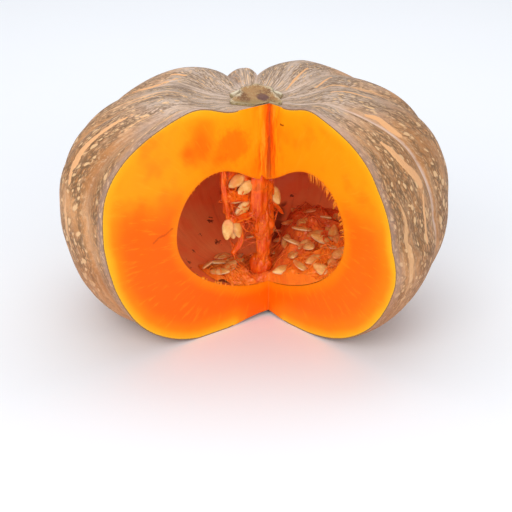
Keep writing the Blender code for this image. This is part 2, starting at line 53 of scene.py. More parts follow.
noiseForm = {"seed": 5, "size": 4096, "strides": np.array([197, 1277, 3163])}
noiseTable = np.random.default_rng(noiseForm["seed"]).random(noiseForm["size"])


def smoothStep(low, high, value):
    # 3t^2 - 2t^3, where t is how far value has come from low to high
    share = np.clip((value - low) / (high - low), 0.0, 1.0)
    return share * share * (3.0 - 2.0 * share)


def softNoise(points, cell):
    # random heights from -1 to 1 on a cubic lattice of this cell, blended with smooth steps
    scaled = points / cell
    corner = np.floor(scaled).astype(int)
    part = scaled - corner
    part = part * part * (3.0 - 2.0 * part)
    total = 0.0
    for ends in itertools.product((0, 1), repeat=3):
        pick = ((corner + np.array(ends)) @ noiseForm["strides"]) % noiseForm["size"]
        near = np.where(np.array(ends) == 1, part, 1.0 - part)
        total = total + noiseTable[pick] * near.prod(axis=-1)
    return total * 2.0 - 1.0


def layeredNoise(points, layers):
    # the sum of soft noises, each given by its cell and its height
    total = 0.0
    for cell, height in layers:
        total = total + softNoise(points, cell) * height
    return total


def alongColumns(points):
    # how far each point of a grid is along its column, counted from the first row
    steps = np.diff(points, axis=0, prepend=points[:1])
    return np.cumsum(np.linalg.norm(steps, axis=-1), axis=0)


def gapToCuts(points, turns):
    # distance from the apex line times the sine of the turn from the nearer cut
    away = np.hypot(points[..., 0] - apex[0], points[..., 1] - apex[1])
    aside = np.minimum(turns - rightCut, leftCut - turns)
    return away * np.sin(np.minimum(aside, np.pi / 2.0))


def paint(code):
    # an sRGB colour written as six hex digits, as the linear colour that shaders use
    parts = np.array([int(code[i : i + 2], 16) / 255.0 for i in (0, 2, 4)])
    linear = np.where(parts > 0.04045, ((parts + 0.055) / 1.055) ** 2.4, parts / 12.92)
    return (*linear.tolist(), 1.0)


# Shader maths

class Wire:  # a socket that can stand in a Python expression
    def __init__(self, finish, socket):
        self.finish, self.socket = finish, socket

    def join(self, operation, first, second):
        return self.finish.node("ShaderNodeMath", {"operation": operation}, {0: first, 1: second})

    def __add__(self, other):
        return self.join("ADD", self, other)

    def __radd__(self, other):
        return self.join("ADD", other, self)

    def __sub__(self, other):
        return self.join("SUBTRACT", self, other)

    def __rsub__(self, other):
        return self.join("SUBTRACT", other, self)

    def __mul__(self, other):
        return self.join("MULTIPLY", self, other)

    def __rmul__(self, other):
        return self.join("MULTIPLY", other, self)


class Finish:  # a material on its Principled shader, with its tones as named paints
    def __init__(self, name, tones, **fixed):
        self.material = bpy.data.materials.new(name)
        self.material.use_nodes = True
        self.tree = self.material.node_tree
        self.shader = self.tree.nodes["Principled BSDF"]
        self.paints = {tone: paint(code) for tone, code in tones.items()}
        for socket, value in fixed.items():
            self.shader.inputs[socket.replace("_", " ")].default_value = value

    def node(self, kind, settings, inputs, output=0):
        made = self.tree.nodes.new(kind)
        for key, value in settings.items():
            setattr(made, key, value)
        for key, value in inputs.items():
            if isinstance(value, Wire):
                self.tree.links.new(value.socket, made.inputs[key])
            else:
                made.inputs[key].default_value = value
        return Wire(self, made.outputs[output])

    def feed(self, socket, wire):
        self.tree.links.new(wire.socket, self.shader.inputs[socket])

    def place(self):  # where a point is, in metres
        return self.node("ShaderNodeTexCoord", {}, {}, "Object")

    def mark(self, name, output="Fac"):  # a number kept on the piece's points
        return self.node("ShaderNodeAttribute", {"attribute_name": name}, {}, output)

    def track(self, name):  # a vector kept there
        return self.mark(name, "Vector")

    def stretch(self, vector, factors):
        return self.node("ShaderNodeVectorMath", {"operation": "MULTIPLY"}, {0: vector, 1: factors})

    def shift(self, vector, offset):
        return self.node("ShaderNodeVectorMath", {"operation": "ADD"}, {0: vector, 1: offset})

    def noise(self, vector, scale, detail=3.0, roughness=0.55):
        return self.node("ShaderNodeTexNoise", {}, {
            "Vector": vector, "Scale": scale, "Detail": detail, "Roughness": roughness})

    def warp(self, vector, scale, amount):  # a vector pushed about by coloured noise
        cloud = self.node("ShaderNodeTexNoise", {}, {
            "Vector": vector, "Scale": scale, "Detail": 2.0}, "Color")
        centred = self.shift(cloud, (-0.5, -0.5, -0.5))
        return self.shift(vector, self.stretch(centred, (amount, amount, amount)))

    def cells(self, vector, scale, feature="F1", output="Distance"):
        return self.node("ShaderNodeTexVoronoi", {"feature": feature}, {
            "Vector": vector, "Scale": scale}, output)

    def fade(self, wire, low, high, first, last):  # first below low, last above high
        return self.node("ShaderNodeMapRange", {"interpolation_type": "SMOOTHSTEP"}, {
            "Value": wire, "From Min": low, "From Max": high, "To Min": first, "To Max": last})

    def mask(self, wire, low, high):
        return self.fade(wire, low, high, 0.0, 1.0)

    def fall(self, wire, low, high):
        return self.fade(wire, low, high, 1.0, 0.0)

    def blend(self, share, *ends):  # from one end to the other, each a colour or a tone's name
        first, second = (self.paints[end] if isinstance(end, str) else end for end in ends)
        return self.node("ShaderNodeMix", {"data_type": "RGBA"}, {0: share, 6: first, 7: second}, 2)

    def coats(self, colour, *layers):  # each layer is a share and what it lays over the rest
        for share, over in layers:
            colour = self.blend(share, colour, over)
        return colour

    def relief(self, height, strength, distance):
        self.feed("Normal", self.node("ShaderNodeBump", {}, {
            "Height": height, "Strength": strength, "Distance": distance}))


# Meshes

def gridQuads(rows, columns, count, wrap):
    # neighbours in a grid joined into quads, for as many grids as count, one after another
    index = np.arange(rows * columns).reshape(rows, columns)
    if wrap:
        index = np.concatenate([index, index[:, :1]], axis=1)
    quads = np.stack([index[:-1, :-1], index[:-1, 1:], index[1:, 1:], index[1:, :-1]], axis=-1)
    starts = (np.arange(count) * rows * columns)[:, None, None]
    return (quads.reshape(-1, 4)[None] + starts).reshape(-1, 4)


def facesRight(sheet, points, quads):
    # sums each face's middle, seen from the point that it should face away from, along its normal
    a, b, c, d = (points.reshape(-1, 3)[quads[:, i]] for i in range(4))
    middle = (a + b + c + d) / 4.0
    if "towards" in sheet:
        way = np.array(sheet["towards"]) - middle
    elif "away" in sheet:
        way = middle - np.array(sheet["away"])
    else:  # closed forms: away from each form's own middle
        own = points.reshape(-1, points.shape[-3] * points.shape[-2], 3).mean(axis=1)
        way = middle - np.repeat(own, len(quads) // len(own), axis=0)
    return (way * np.cross(c - a, d - b)).sum() >= 0.0


def keepMark(mesh, name, values):
    # a number or a vector on each of the mesh's points
    values = np.concatenate([value.ravel() for value in values])
    if len(values) == 3 * len(mesh.vertices):
        mesh.attributes.new(name, "FLOAT_VECTOR", "POINT").data.foreach_set("vector", values)
    else:
        mesh.attributes.new(name, "FLOAT", "POINT").data.foreach_set("value", values)


def makePiece(name, sheets, finish, nodes):
    # Each sheet is one grid of points (rows, columns, 3), or several with a first axis for them.
    # Its wrap joins the last column to the first, towards or away turns the faces to or from a
    # point, and marks are numbers or vectors kept on the points for the material.
    allPoints, allQuads, allMarks = [], [], {}
    start = 0
    for sheet in sheets:
        points = np.asarray(sheet["points"], dtype=float)
        rows, columns = points.shape[-3:-1]
        quads = gridQuads(rows, columns, points.size // (rows * columns * 3), "wrap" in sheet)
        if not facesRight(sheet, points, quads):
            quads = quads[:, ::-1]
        allPoints.append(points.reshape(-1, 3))
        allQuads.append(quads + start)
        start += points.size // 3
        for key, value in sheet["marks"].items():
            allMarks.setdefault(key, []).append(np.asarray(value, dtype=float))
    points = np.concatenate(allPoints) + coreLine
    quads = np.concatenate(allQuads)
    mesh = bpy.data.meshes.new(name)
    mesh.from_pydata(points.tolist(), [], quads.tolist())
    for key, values in allMarks.items():
        keepMark(mesh, key, values)
    work = bmesh.new()
    work.from_mesh(mesh)
    bmesh.ops.remove_doubles(work, verts=work.verts, dist=2e-6)
    bmesh.ops.dissolve_degenerate(work, edges=work.edges, dist=1e-7)
    work.to_mesh(mesh)
    work.free()
    mesh.materials.append(finish.material)
    mesh.shade_smooth()
    piece = bpy.data.objects.new(name, mesh)
    bpy.context.scene.collection.objects.link(piece)
    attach(piece, "root")
    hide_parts(*nodes)
    print(name, len(quads), "faces")


def curveThrough(knots, count):
    # Catmull-Rom: each stretch is a cubic through its two knots, leaning on their neighbours
    knots = np.asarray(knots, dtype=float)
    first = 2.0 * knots[..., :1, :] - knots[..., 1:2, :]
    last = 2.0 * knots[..., -1:, :] - knots[..., -2:-1, :]
    padded = np.concatenate([first, knots, last], axis=-2)
    place = np.linspace(0.0, knots.shape[-2] - 1.0, count)
    i = np.minimum(place.astype(int), knots.shape[-2] - 2)
    t = (place - i)[:, None]
    a, b, c, d = (padded[..., i + k, :] for k in range(4))
    bend = (2.0 * a - 5.0 * b + 4.0 * c - d) * t**2 + (3.0 * b - a - 3.0 * c + d) * t**3
    return 0.5 * (2.0 * b + (c - a) * t + bend)


def evenly(line, count):
    # the same line with its points spaced evenly along it
    length = alongColumns(line)
    spots = np.linspace(0.0, length[-1], count)
    return np.stack([np.interp(spots, length, line[:, k]) for k in range(3)], axis=-1)


def nearest(points, line):
    # distance from each point to the nearest of a line's points
    return np.min([np.linalg.norm(points - spot, axis=-1) for spot in line], axis=0)


def sweep(path, radii, sides, lean=(1.0, 0.3, 0.0)):
    # centre + radius * (cos a * side + sin a * other) for each point of the path, round it
    ahead = np.gradient(path, axis=-2)
    ahead = ahead / np.linalg.norm(ahead, axis=-1, keepdims=True)
    side = np.array(lean) - ahead * (ahead @ np.array(lean))[..., None]
    side = side / np.linalg.norm(side, axis=-1, keepdims=True)
    other = np.cross(ahead, side)
    angle = np.linspace(0.0, 2.0 * np.pi, sides, endpoint=False)
    ring = np.cos(angle)[:, None] * side[..., None, :] + np.sin(angle)[:, None] * other[..., None, :]
    return path[..., None, :] + np.asarray(radii)[..., None, None] * ring, ring


def tubes(path, radii, sides, lean=(1.0, 0.3, 0.0)):
    # swept threads as one sheet, marked with their own places for the pulp's grain
    skin, _ = sweep(path, radii, sides, lean)
    return {"points": skin, "wrap": True, "marks": {"pulpTrack": skin}}


# Rind

rindForm = {
    "radius": 0.135,
    "widest": 0.0865,  # height of the widest level
    "shoulder": 0.0844,  # rise above it and fall below it
    "keel": 0.0899,
    "fullAbove": 1.036,  # how the spread shrinks above and below it
    "fullBelow": 0.55,
    "roundAbove": 0.666,  # how the height grows above and below it
    "roundBelow": 1.072,
    "seatRadius": 0.0265,  # the dip that the stem sits in
    "seatOuter": 0.073,
    "seatDepth": 0.0134,
    "seatFlare": 1.59,
    "grooveReach": 0.06,  # where the grooves reach their full depth
    "dimple": 0.008,  # under the middle
    "dimpleWidth": 0.035,
    "columns": 380,
    "rows": ((-86.0, -30.0, 62), (-29.0, 74.0, 96)),  # slopes in degrees and rows between them
    "lastRows": (74.6, 12),  # from this slope up to the seat
    "capRows": 9,
    "dents": ((0.021, 0.50), (0.009, 0.35), (0.0045, 0.15)),
    "dentTop": 0.9,  # keeps the dents below the plain surface
    "dentDepth": 0.0005,
    "dentsFrom": (0.001, 0.012),  # heights over which the dents set in
    "dentsTo": 1.2,  # slope from which they fade up to the seat
}

ribs = np.array([  # bearing of the groove, its depth, growth above and below the widest level
    (-53.0, 0.0065, -0.115, 0.022),
    (-18.0, 0.0065, -0.005, 0.022),
    (15.0, 0.0065, 0.035, 0.000),
    (38.0, 0.0065, 0.101, 0.000),
    (87.0, 0.0085, -0.045, 0.000),
    (104.0, 0.0110, 0.046, 0.000),
    (155.0, 0.0065, -0.051, -0.002),
    (190.0, 0.0065, 0.020, -0.010),
    (215.0, 0.0065, -0.017, -0.039),
    (261.0, 0.0065, -0.020, 0.051),
])
seatSlope = math.acos((rindForm["seatRadius"] / rindForm["radius"]) ** (1.0 / rindForm["fullAbove"]))


def ribShape(bearing):
    # crest is (4s(1-s))^0.7, where s runs from 0 to 1 between a rib's two grooves
    starts, depths, above, below = ribs.T
    ends = np.append(starts[1:], starts[0] + 360.0)
    degrees = (np.degrees(bearing) - starts[0]) % 360.0 + starts[0]
    rib = np.clip(np.searchsorted(starts, degrees, side="right") - 1, 0, len(ribs) - 1)
    along = (degrees - starts[rib]) / (ends[rib] - starts[rib])
    crest = np.clip(4.0 * along * (1.0 - along), 0.0, 1.0) ** 0.7
    depth = depths[rib] + (np.roll(depths, -1)[rib] - depths[rib]) * along
    middles = (starts + ends) / 2.0
    turns = np.concatenate([middles - 360.0, middles, middles + 360.0])
    growthAbove = np.interp(degrees, turns, np.tile(above, 3))
    growthBelow = np.interp(degrees, turns, np.tile(below, 3))
    return crest, depth, growthAbove, growthBelow


def rindPoints(bearing, slope):
    # Spread is radius * cos(slope)^fullness, height is +-rise * |sin(slope)|^roundness. Each rib
    # swells by its growth, each groove sinks by its depth, and the stem's seat dips in.
    f = rindForm
    out = np.maximum(np.cos(slope), 0.0)
    up = np.sin(slope)
    fullness = f["fullBelow"] + (f["fullAbove"] - f["fullBelow"]) * smoothStep(-0.15, 0.15, up)
    plain = f["radius"] * out**fullness
    crest, depth, growthAbove, growthBelow = ribShape(bearing)
    growth = growthBelow + (growthAbove - growthBelow) * smoothStep(-0.35, 0.35, up)
    growth = growth * smoothStep(f["seatRadius"], f["seatOuter"], plain)
    sunk = depth * (1.0 - crest) * smoothStep(f["seatRadius"], f["grooveReach"], plain)
    rise = np.minimum(np.abs(up), math.sin(seatSlope))
    above = f["shoulder"] * (1.0 + 0.5 * growth) * rise ** f["roundAbove"]
    inward = 1.0 - smoothStep(f["seatRadius"], f["seatOuter"], plain)
    above = above - f["seatDepth"] * inward ** f["seatFlare"]
    below = f["dimple"] * np.exp(-((plain / f["dimpleWidth"]) ** 2))
    below = below - f["keel"] * np.abs(up) ** f["roundBelow"]
    height = np.where(up > 0.0, above, below) - sunk * up
    spread = plain * (1.0 + growth) - sunk * out
    height = np.maximum(height + f["widest"], 0.0)
    return np.stack([spread * np.cos(bearing), spread * np.sin(bearing), height], axis=-1)


def aroundApex(turn, slope, outline, centre, rounds=14):
    # Looks from the apex line along each turn, and finds by repeated steps the bearing about
    # the outline's own centre where that line of sight meets the outline.
    offset = apex - centre
    bearing = turn.copy()
    for _ in range(rounds):
        flat = outline(bearing, slope)[..., :2] - centre
        radius = np.hypot(flat[..., 0], flat[..., 1])
        along = offset[0] * np.cos(turn) + offset[1] * np.sin(turn)
        reach = np.sqrt(np.maximum(radius**2 - offset @ offset + along**2, 1e-12)) - along
        bearing = np.arctan2(offset[1] + reach * np.sin(turn), offset[0] + reach * np.cos(turn))
    return outline(bearing, slope), bearing


def towardsApex(rim, shares, heights=0.0):
    # rows of points from a rim in to the apex line, at the given heights
    flat = apex + (rim[None, :, :2] - apex) * shares[:, None, None]
    heights = np.broadcast_to(heights, flat.shape[:2])
    return np.concatenate([flat, heights[..., None]], axis=-1)


def sharesOut(rows):
    # shares of the way out from the apex line, closer together near the rim, which is left out
    return np.linspace(0.0, 1.0, rows)[:-1] ** 0.8


def pushedOut(points, turnGrid, push):
    # points moved level, away from the apex line
    sightline = np.stack([np.cos(turnGrid), np.sin(turnGrid), np.zeros_like(turnGrid)], axis=-1)
    return points + sightline * push[..., None]


def keelHeight(flat):
    # the underside's height at points near the middle, from its distance to the core line
    plain = np.hypot(flat[..., 0], flat[..., 1])
    out = (plain / rindForm["radius"]) ** (1.0 / rindForm["fullBelow"])
    slope = -np.arccos(np.clip(out, 0.0, 1.0))
    return rindPoints(np.arctan2(flat[..., 1], flat[..., 0]), slope)[..., 2]


turns = np.linspace(rightCut, leftCut, rindForm["columns"])
lastSlope, lastRows = rindForm["lastRows"]
slopes = np.concatenate([
    *(np.radians(np.linspace(*stretch)) for stretch in rindForm["rows"]),
    np.linspace(math.radians(lastSlope), seatSlope, lastRows)])
turnGrid, slopeGrid = np.meshgrid(turns, slopes)
side, sideBearing = aroundApex(turnGrid, slopeGrid, rindPoints, np.zeros(2))
dents = layeredNoise(side, rindForm["dents"]) - rindForm["dentTop"]
settle = (smoothStep(*rindForm["dentsFrom"], side[..., 2])
          * smoothStep(seatSlope, rindForm["dentsTo"], slopeGrid))
side = pushedOut(side, turnGrid, rindForm["dentDepth"] * dents * settle)

shares = sharesOut(rindForm["capRows"])
lowRows = towardsApex(side[0], shares)
lowRows[..., 2] = keelHeight(lowRows)
highRows = towardsApex(side[-1], shares[::-1], side[-1, :, 2])
rind = np.concatenate([lowRows, side, highRows])
rindBearing = np.concatenate([
    np.repeat(sideBearing[:1], len(shares), axis=0), sideBearing,
    np.repeat(sideBearing[-1:], len(shares), axis=0)])
rindSlope = np.concatenate([
    np.full(lowRows.shape[:2], slopes[0]), slopeGrid, np.full(highRows.shape[:2], slopes[-1])])
print("rind worked out", rind.shape)

# Long pale scars: bearings and slopes that each passes, with its half width there in metres
scars = (
    ((-16, 50, 0.0010), (-15, 46, 0.0019), (-16, 40, 0.0024), (-16, 34, 0.0014)),
    ((-31, 36, 0.0014), (-30, 31, 0.0026), (-29, 24, 0.0032), (-25, 14, 0.0042), (-25, 12, 0.0030)),
    ((-26, 8, 0.0014), (-28, 4, 0.0019), (-29, 0, 0.0013), (-30, -5, 0.0015)),
    ((206, 50, 0.0010), (205, 42, 0.0018), (205, 35, 0.0020), (205, 28, 0.0026), (206, 22, 0.0032)),
    ((205, 22, 0.0014), (207, 14, 0.0016)),
    ((45, 75, 0.0006), (49, 70, 0.0011), (51, 63, 0.0010)),
    ((8, 75, 0.0005), (22, 67, 0.0009), (26, 63, 0.0006)),
    ((-4, 66, 0.0006), (-3, 60, 0.0009), (-3, 52, 0.0007)),
    ((149, 33, 0.0010), (152, 50, 0.0014), (147, 61, 0.0008)),
    ((141, 57, 0.0012), (142, 63, 0.0010)),
    ((211, 50, 0.0006), (208, 59, 0.0008), (184, 69, 0.0005)),
    ((96, 50, 0.0008), (97, 30, 0.0022), (98, 12, 0.0012)),
    ((118, 56, 0.0008), (121, 34, 0.0024), (122, 26, 0.0016)),
    ((70, 40, 0.0010), (72, 20, 0.0024), (72, 6, 0.0012)),
    ((164, 40, 0.0008), (166, 20, 0.0020), (167, -4, 0.0010)),
    ((16, 30, 0.0008), (17, 14, 0.0018), (17, -4, 0.0010)),
    ((-2, 20, 0.0010), (-2, 0, 0.0016)),
    ((133, 8, 0.0012), (134, -14, 0.0018)),
)


def scarMask(points, steps=26):
    # 1 on a scar's middle line, falling to 0 at its edge
    total = np.zeros(points.shape[:-1])
    for scar in scars:
        bearing, slope, half = np.array(scar, dtype=float).T
        line = curveThrough(rindPoints(np.radians(bearing), np.radians(slope)), steps)
        halves = np.interp(np.linspace(0.0, 1.0, steps), np.linspace(0.0, 1.0, len(half)), half)
        gaps = [np.linalg.norm(points - spot, axis=-1) / h for spot, h in zip(line, halves)]
        total = np.maximum(total, 1.0 - smoothStep(0.3, 1.7, np.min(gaps, axis=0)))
    return total


rindTones = {
    "warmPale": "D89A62",
    "warmDeep": "B87C48",
    "coolPale": "E4CCBC",
    "coolDeep": "B8A292",
    "leaning": "E2BE9A",
    "brownFleck": "7C5C3E",
    "brownGrain": "84624A",
    "paleGrain": "E8C6A2",
    "net": "6A5238",
    "freckle": "F2C490",
    "speck": "E9BE8C",
    "paleStreak": "EBCBAE",
    "darkStreak": "806650",
    "brightStreak": "F4BC86",
    "paleScar": "F6BC82",
    "deepScar": "F0B07C",
    "seamAndHighlight": "EED6C8",
    "alongCuts": "BE9C8C",
    "underside": "C27C48",
    "shadeOnRight": "74583C",
}
freckles = (((0.31, 0.17, 0.0), 210.0, 0.46), ((0.11, 0.53, 0.0), 125.0, 0.56))  # offset, scale, bare share


def makeRindFinish():
    f = Finish("rind", rindTones, Roughness=0.5, Specular_IOR_Level=0.3)
    place = f.place()
    crest, high = f.mark("crest"), f.mark("high")
    bent = f.warp(f.track("ribTrack"), 70.0, 0.006)  # x round the fruit, y along the rib, in metres

    def drawn(factor):  # patterns on this run along the ribs, longer for a smaller factor
        return f.stretch(bent, (1.0, factor, 1.0))

    tall = drawn(0.45)
    cloud = f.noise(place, 26.0, 4.0)
    fine = f.noise(place, 420.0, 3.0)
    grain = f.noise(tall, 760.0, 4.0, 0.7)
    lean = f.noise(drawn(0.10), 230.0, 5.0, 0.65)
    blotch = f.noise(drawn(0.6), 300.0, 5.0, 0.75)
    soft = f.mask(cloud, 0.35, 0.65)
    warm = f.blend(soft, "warmPale", "warmDeep")
    cool = f.blend(soft, "coolPale", "coolDeep")
    ground = f.blend(f.mask(high + (cloud - 0.5) * 0.8, 0.10, 0.62), warm, cool)

    # dark flecks and a dark net between pale freckles, on the ribs' backs
    back = f.mask(crest, 0.22, 0.62)
    worn = f.mask(f.noise(drawn(0.35), 60.0, 3.0), 0.34, 0.56) * back
    net = f.cells(tall, 330.0, "DISTANCE_TO_EDGE")
    dark = f.fall(net + (blotch - 0.5) * 0.5, 0.02, 0.22) * worn
    spots = 0.0
    for offset, scale, bare in freckles:
        spread = f.shift(f.warp(drawn(0.85), 260.0, 0.0022), offset)
        chosen = f.node("ShaderNodeSeparateColor", {}, {0: f.cells(spread, scale, "F1", "Color")})
        dot = f.fall(f.cells(spread, scale) + (fine - 0.5) * 0.16, 0.20, 0.36)
        spots = spots + dot * f.mask(chosen, bare, bare + 0.06) * back
    spots = f.mask(spots, 0.0, 1.0)
    specks = f.fall(f.cells(f.shift(tall, (0.7, 0.4, 0.0)), 460.0), 0.16, 0.34) * worn

    # streaks that run to the stem, long scars, grooves that are partly pale and partly a painted highlight,
    # and the bare band along the cuts
    thin = f.noise(drawn(0.045), 520.0, 4.0, 0.7)
    streak = f.noise(f.shift(drawn(0.07), (0.2, 0.0, 0.0)), 120.0, 3.0, 0.5)
    scar = f.mark("scar")
    ragged = scar + (blotch - 0.5) * 1.1 + (fine - 0.5) * 0.4
    seamAndHighlight = f.fall(crest + (lean - 0.5) * 0.34 + (cloud - 0.5) * 0.2, 0.03, 0.26) * f.mark("seamAndHighlight")
    band = f.fall(f.mark("nearCut") + (cloud - 0.5) * 0.006, 0.0020, 0.0085)

    f.feed("Base Color", f.coats(
        ground,
        (f.mask(lean, 0.48, 0.66) * 0.40, "leaning"),
        (f.mask(blotch, 0.49, 0.58) * (0.22 + 0.60 * worn), "brownFleck"),
        (f.mask(grain, 0.50, 0.62) * (0.15 + 0.40 * worn), "brownGrain"),
        (f.fall(grain, 0.36, 0.46) * 0.35, "paleGrain"),
        (dark * 0.70, "net"),
        (spots * 0.85, "freckle"),
        (specks * 0.6, "speck"),
        (f.mask(thin, 0.52, 0.64) * high * 0.60, "paleStreak"),
        (f.fall(thin, 0.36, 0.50) * high * 0.75, "darkStreak"),
        (f.mask(streak, 0.61, 0.68) * f.mask(crest, 0.2, 0.5) * 0.75, "brightStreak"),
        (f.mask(ragged, 0.38, 0.58), f.blend(cloud, "paleScar", "deepScar")),
        # pale grooves: partly their own pale stripe, partly a painted highlight
        (seamAndHighlight * 0.75, "seamAndHighlight"),
        (band * 0.50, "alongCuts"),
        (f.mark("low") * (0.25 + 0.5 * f.mask(cloud, 0.3, 0.7)), "underside"),
        # painted shade on the fruit's right side
        (f.mark("shade") * 0.15, "shadeOnRight")))
    f.feed("Roughness", 0.42 + 0.18 * dark + 0.10 * (1.0 - spots) - 0.05 * seamAndHighlight)
    f.relief(spots * 0.5 - dark * 0.6 + scar * 0.8 + fine * 0.35 + grain * 0.5 + lean * 0.4, 0.4, 0.0008)
    return f


seamAndHighlightShares = np.array([  # bearing of a groove and how pale it is, partly the groove's own pale stripe and partly a painted highlight
    (0.0, 0.8), (15.0, 0.8), (38.0, 0.8), (87.0, 0.8), (104.0, 0.8), (155.0, 0.7), (190.0, 0.6),
    (215.0, 0.1), (300.0, 0.2), (342.0, 1.0), (360.0, 0.8),
])
unwound = np.where(rindBearing < math.radians(-100.0), rindBearing + 2.0 * np.pi, rindBearing)
rindMarks = {
    "ribTrack": np.stack([
        unwound * rindForm["radius"], alongColumns(rind), np.zeros_like(unwound)], axis=-1),
    "crest": ribShape(rindBearing)[0],
    "low": 1.0 - smoothStep(0.030, 0.085, rind[..., 2]),
    "high": smoothStep(0.9, 1.25, rindSlope) * 0.6 + smoothStep(0.4, 1.0, rindSlope) * 0.4,
    "nearCut": gapToCuts(rind, turns),
    "scar": scarMask(rind),
    "seamAndHighlight": np.interp(np.degrees(rindBearing) % 360.0, *seamAndHighlightShares.T),
    "shade": smoothStep(-0.2, 0.6, np.cos(rindBearing)),  # painted shade, greyer and darker on the right
}
makePiece("rindShell", [{"points": rind, "away": (0.0, 0.0, 0.08), "marks": rindMarks}],
          makeRindFinish(), ["pumpkin_body"])


# Hollow

hollowForm = {
    "centre": np.array([0.0084, -0.0023]),
    "radius": 0.0792,
    "level": 0.0775,  # height of its widest level
    "up": 0.0481,  # rise above it and fall below it
    "down": 0.0520,
    "roundUp": 0.67,
    "roundDown": 1.12,
    "boss": 0.0230,  # how far the ceiling hangs down in the middle
    "bossWidth": 0.0341,
    "rows": (-78.0, 80.0, 120),  # slopes in degrees and rows between them
    "columns": 260,
    "capRows": 7,
    "relief": 0.0011,
    "fibreCell": 0.0030,
    "fibreShare": 0.2,
    "lumps": ((0.012, 1.0), (0.005, 0.5)),
    "lumpShare": 0.6,
}


def hollowPoints(bearing, slope):
    # spread is radius * cos(slope)^roundness, height is rise * sin(slope), with a boss hanging
    # from the ceiling: depth * exp(-(spread / width)^2)
    f = hollowForm
    out = np.maximum(np.cos(slope), 0.0)
    up = np.sin(slope)
    roundness = f["roundDown"] + (f["roundUp"] - f["roundDown"]) * smoothStep(-0.2, 0.2, up)
    spread = f["radius"] * out**roundness
    rise = np.where(up > 0.0, f["up"], f["down"]) * up
    boss = f["boss"] * np.exp(-((spread / f["bossWidth"]) ** 2)) * (up > 0.0)
    x = f["centre"][0] + spread * np.cos(bearing)
    y = f["centre"][1] + spread * np.sin(bearing)
    return np.stack([x, y, f["level"] + rise - boss], axis=-1)


hollowTurns = np.linspace(rightCut, leftCut, hollowForm["columns"])
hollowSlopes = np.radians(np.linspace(*hollowForm["rows"]))
turnGrid, slopeGrid = np.meshgrid(hollowTurns, hollowSlopes)
wall, _ = aroundApex(turnGrid, slopeGrid, hollowPoints, hollowForm["centre"])
flatWall = np.stack([turnGrid * hollowForm["radius"], slopeGrid * 0.055, np.zeros_like(turnGrid)], axis=-1)
fibres = softNoise(flatWall * np.array([1.0, 0.22, 1.0]), hollowForm["fibreCell"])
lumps = layeredNoise(wall, hollowForm["lumps"])
keepRim = smoothStep(0.0, 0.08, turnGrid - rightCut) * smoothStep(0.0, 0.08, leftCut - turnGrid)
rough = hollowForm["fibreShare"] * fibres + hollowForm["lumpShare"] * lumps
wall = pushedOut(wall, turnGrid, hollowForm["relief"] * rough * keepRim)

inner = sharesOut(hollowForm["capRows"])
floorRows = towardsApex(wall[0], inner, wall[0, :, 2])
ceilingRows = towardsApex(wall[-1], inner[::-1])
reach = np.hypot(*(ceilingRows[..., :2] - hollowForm["centre"]).transpose(2, 0, 1))
ceilingRows[..., 2] = (hollowForm["level"] + hollowForm["up"] * math.sin(hollowSlopes[-1])
                       - hollowForm["boss"] * np.exp(-((reach / hollowForm["bossWidth"]) ** 2)))
hollow = np.concatenate([floorRows, wall, ceilingRows])
print("hollow worked out", hollow.shape)

wallTones = {
    "pale": "FF9A5C",
    "deep": "FF8248",
    "paleStrand": "FFA055",
    "darkStrand": "C85C30",
    "pitShade": "6A2418",
    "paintedShade": "5C2016",
    "tuft": "40180F",
    "rim": "F08A1E",
}


def makeWallFinish():
    f = Finish("hollowWall", wallTones, Roughness=0.5, Specular_IOR_Level=0.2, Coat_Roughness=0.2)
    place = f.place()
    cloud = f.noise(place, 40.0, 4.0)
    strand = f.noise(f.stretch(f.track("wallTrack"), (1.0, 0.12, 1.0)), 260.0, 4.0, 0.6)
    # small pits, pressed in by the bump below and painted dark as their shade
    pits = f.fall(f.cells(f.warp(place, 90.0, 0.008), 75.0), 0.10, 0.30)
    pits = pits * f.mask(f.noise(place, 30.0, 1.0), 0.52, 0.60)
    torn = f.noise(f.stretch(f.warp(place, 240.0, 0.003), (0.7, 1.0, 1.5)), 420.0, 4.0, 0.7)
    tuft = f.mark("tuft")
    f.feed("Base Color", f.coats(
        f.blend(f.mask(cloud, 0.35, 0.68), "pale", "deep"),
        (f.mask(strand, 0.52, 0.68) * 0.25, "paleStrand"),
        (f.fall(strand, 0.32, 0.42) * 0.25, "darkStrand"),
        # painted shade in the small pits
        (pits * 0.75, "pitShade"),
        # painted shade: the wall darkened where it lies in shadow behind the hanging pulp
        (f.mask(f.mark("paintedShade") + (cloud - 0.5) * 0.7, 0.2, 0.8) * 0.8, "paintedShade"),
        (f.mask(tuft + (torn - 0.5) * 4.0, 0.70, 1.05) * f.mask(tuft, 0.05, 0.5) * 0.85, "tuft"),
        (f.fall(f.mark("rimGap") + (cloud - 0.5) * 0.005, 0.0006, 0.0044), "rim")))
    f.feed("Roughness", 0.34 + 0.25 * strand)
    f.feed("Coat Weight", 0.25 * f.mask(cloud, 0.4, 0.6))
    f.relief(strand * 0.5 + cloud * 0.8 - pits * 0.6, 0.5, 0.0012)
    return f


def spotMask(points, spots):
    # the highest of some bell curves, each given by its middle and its radius
    total = np.zeros(points.shape[:-1])
    for *middle, radius in spots:
        gap = np.linalg.norm(points - np.array(middle), axis=-1)
        total = np.maximum(total, np.exp(-((gap / radius) ** 2)))
    return total


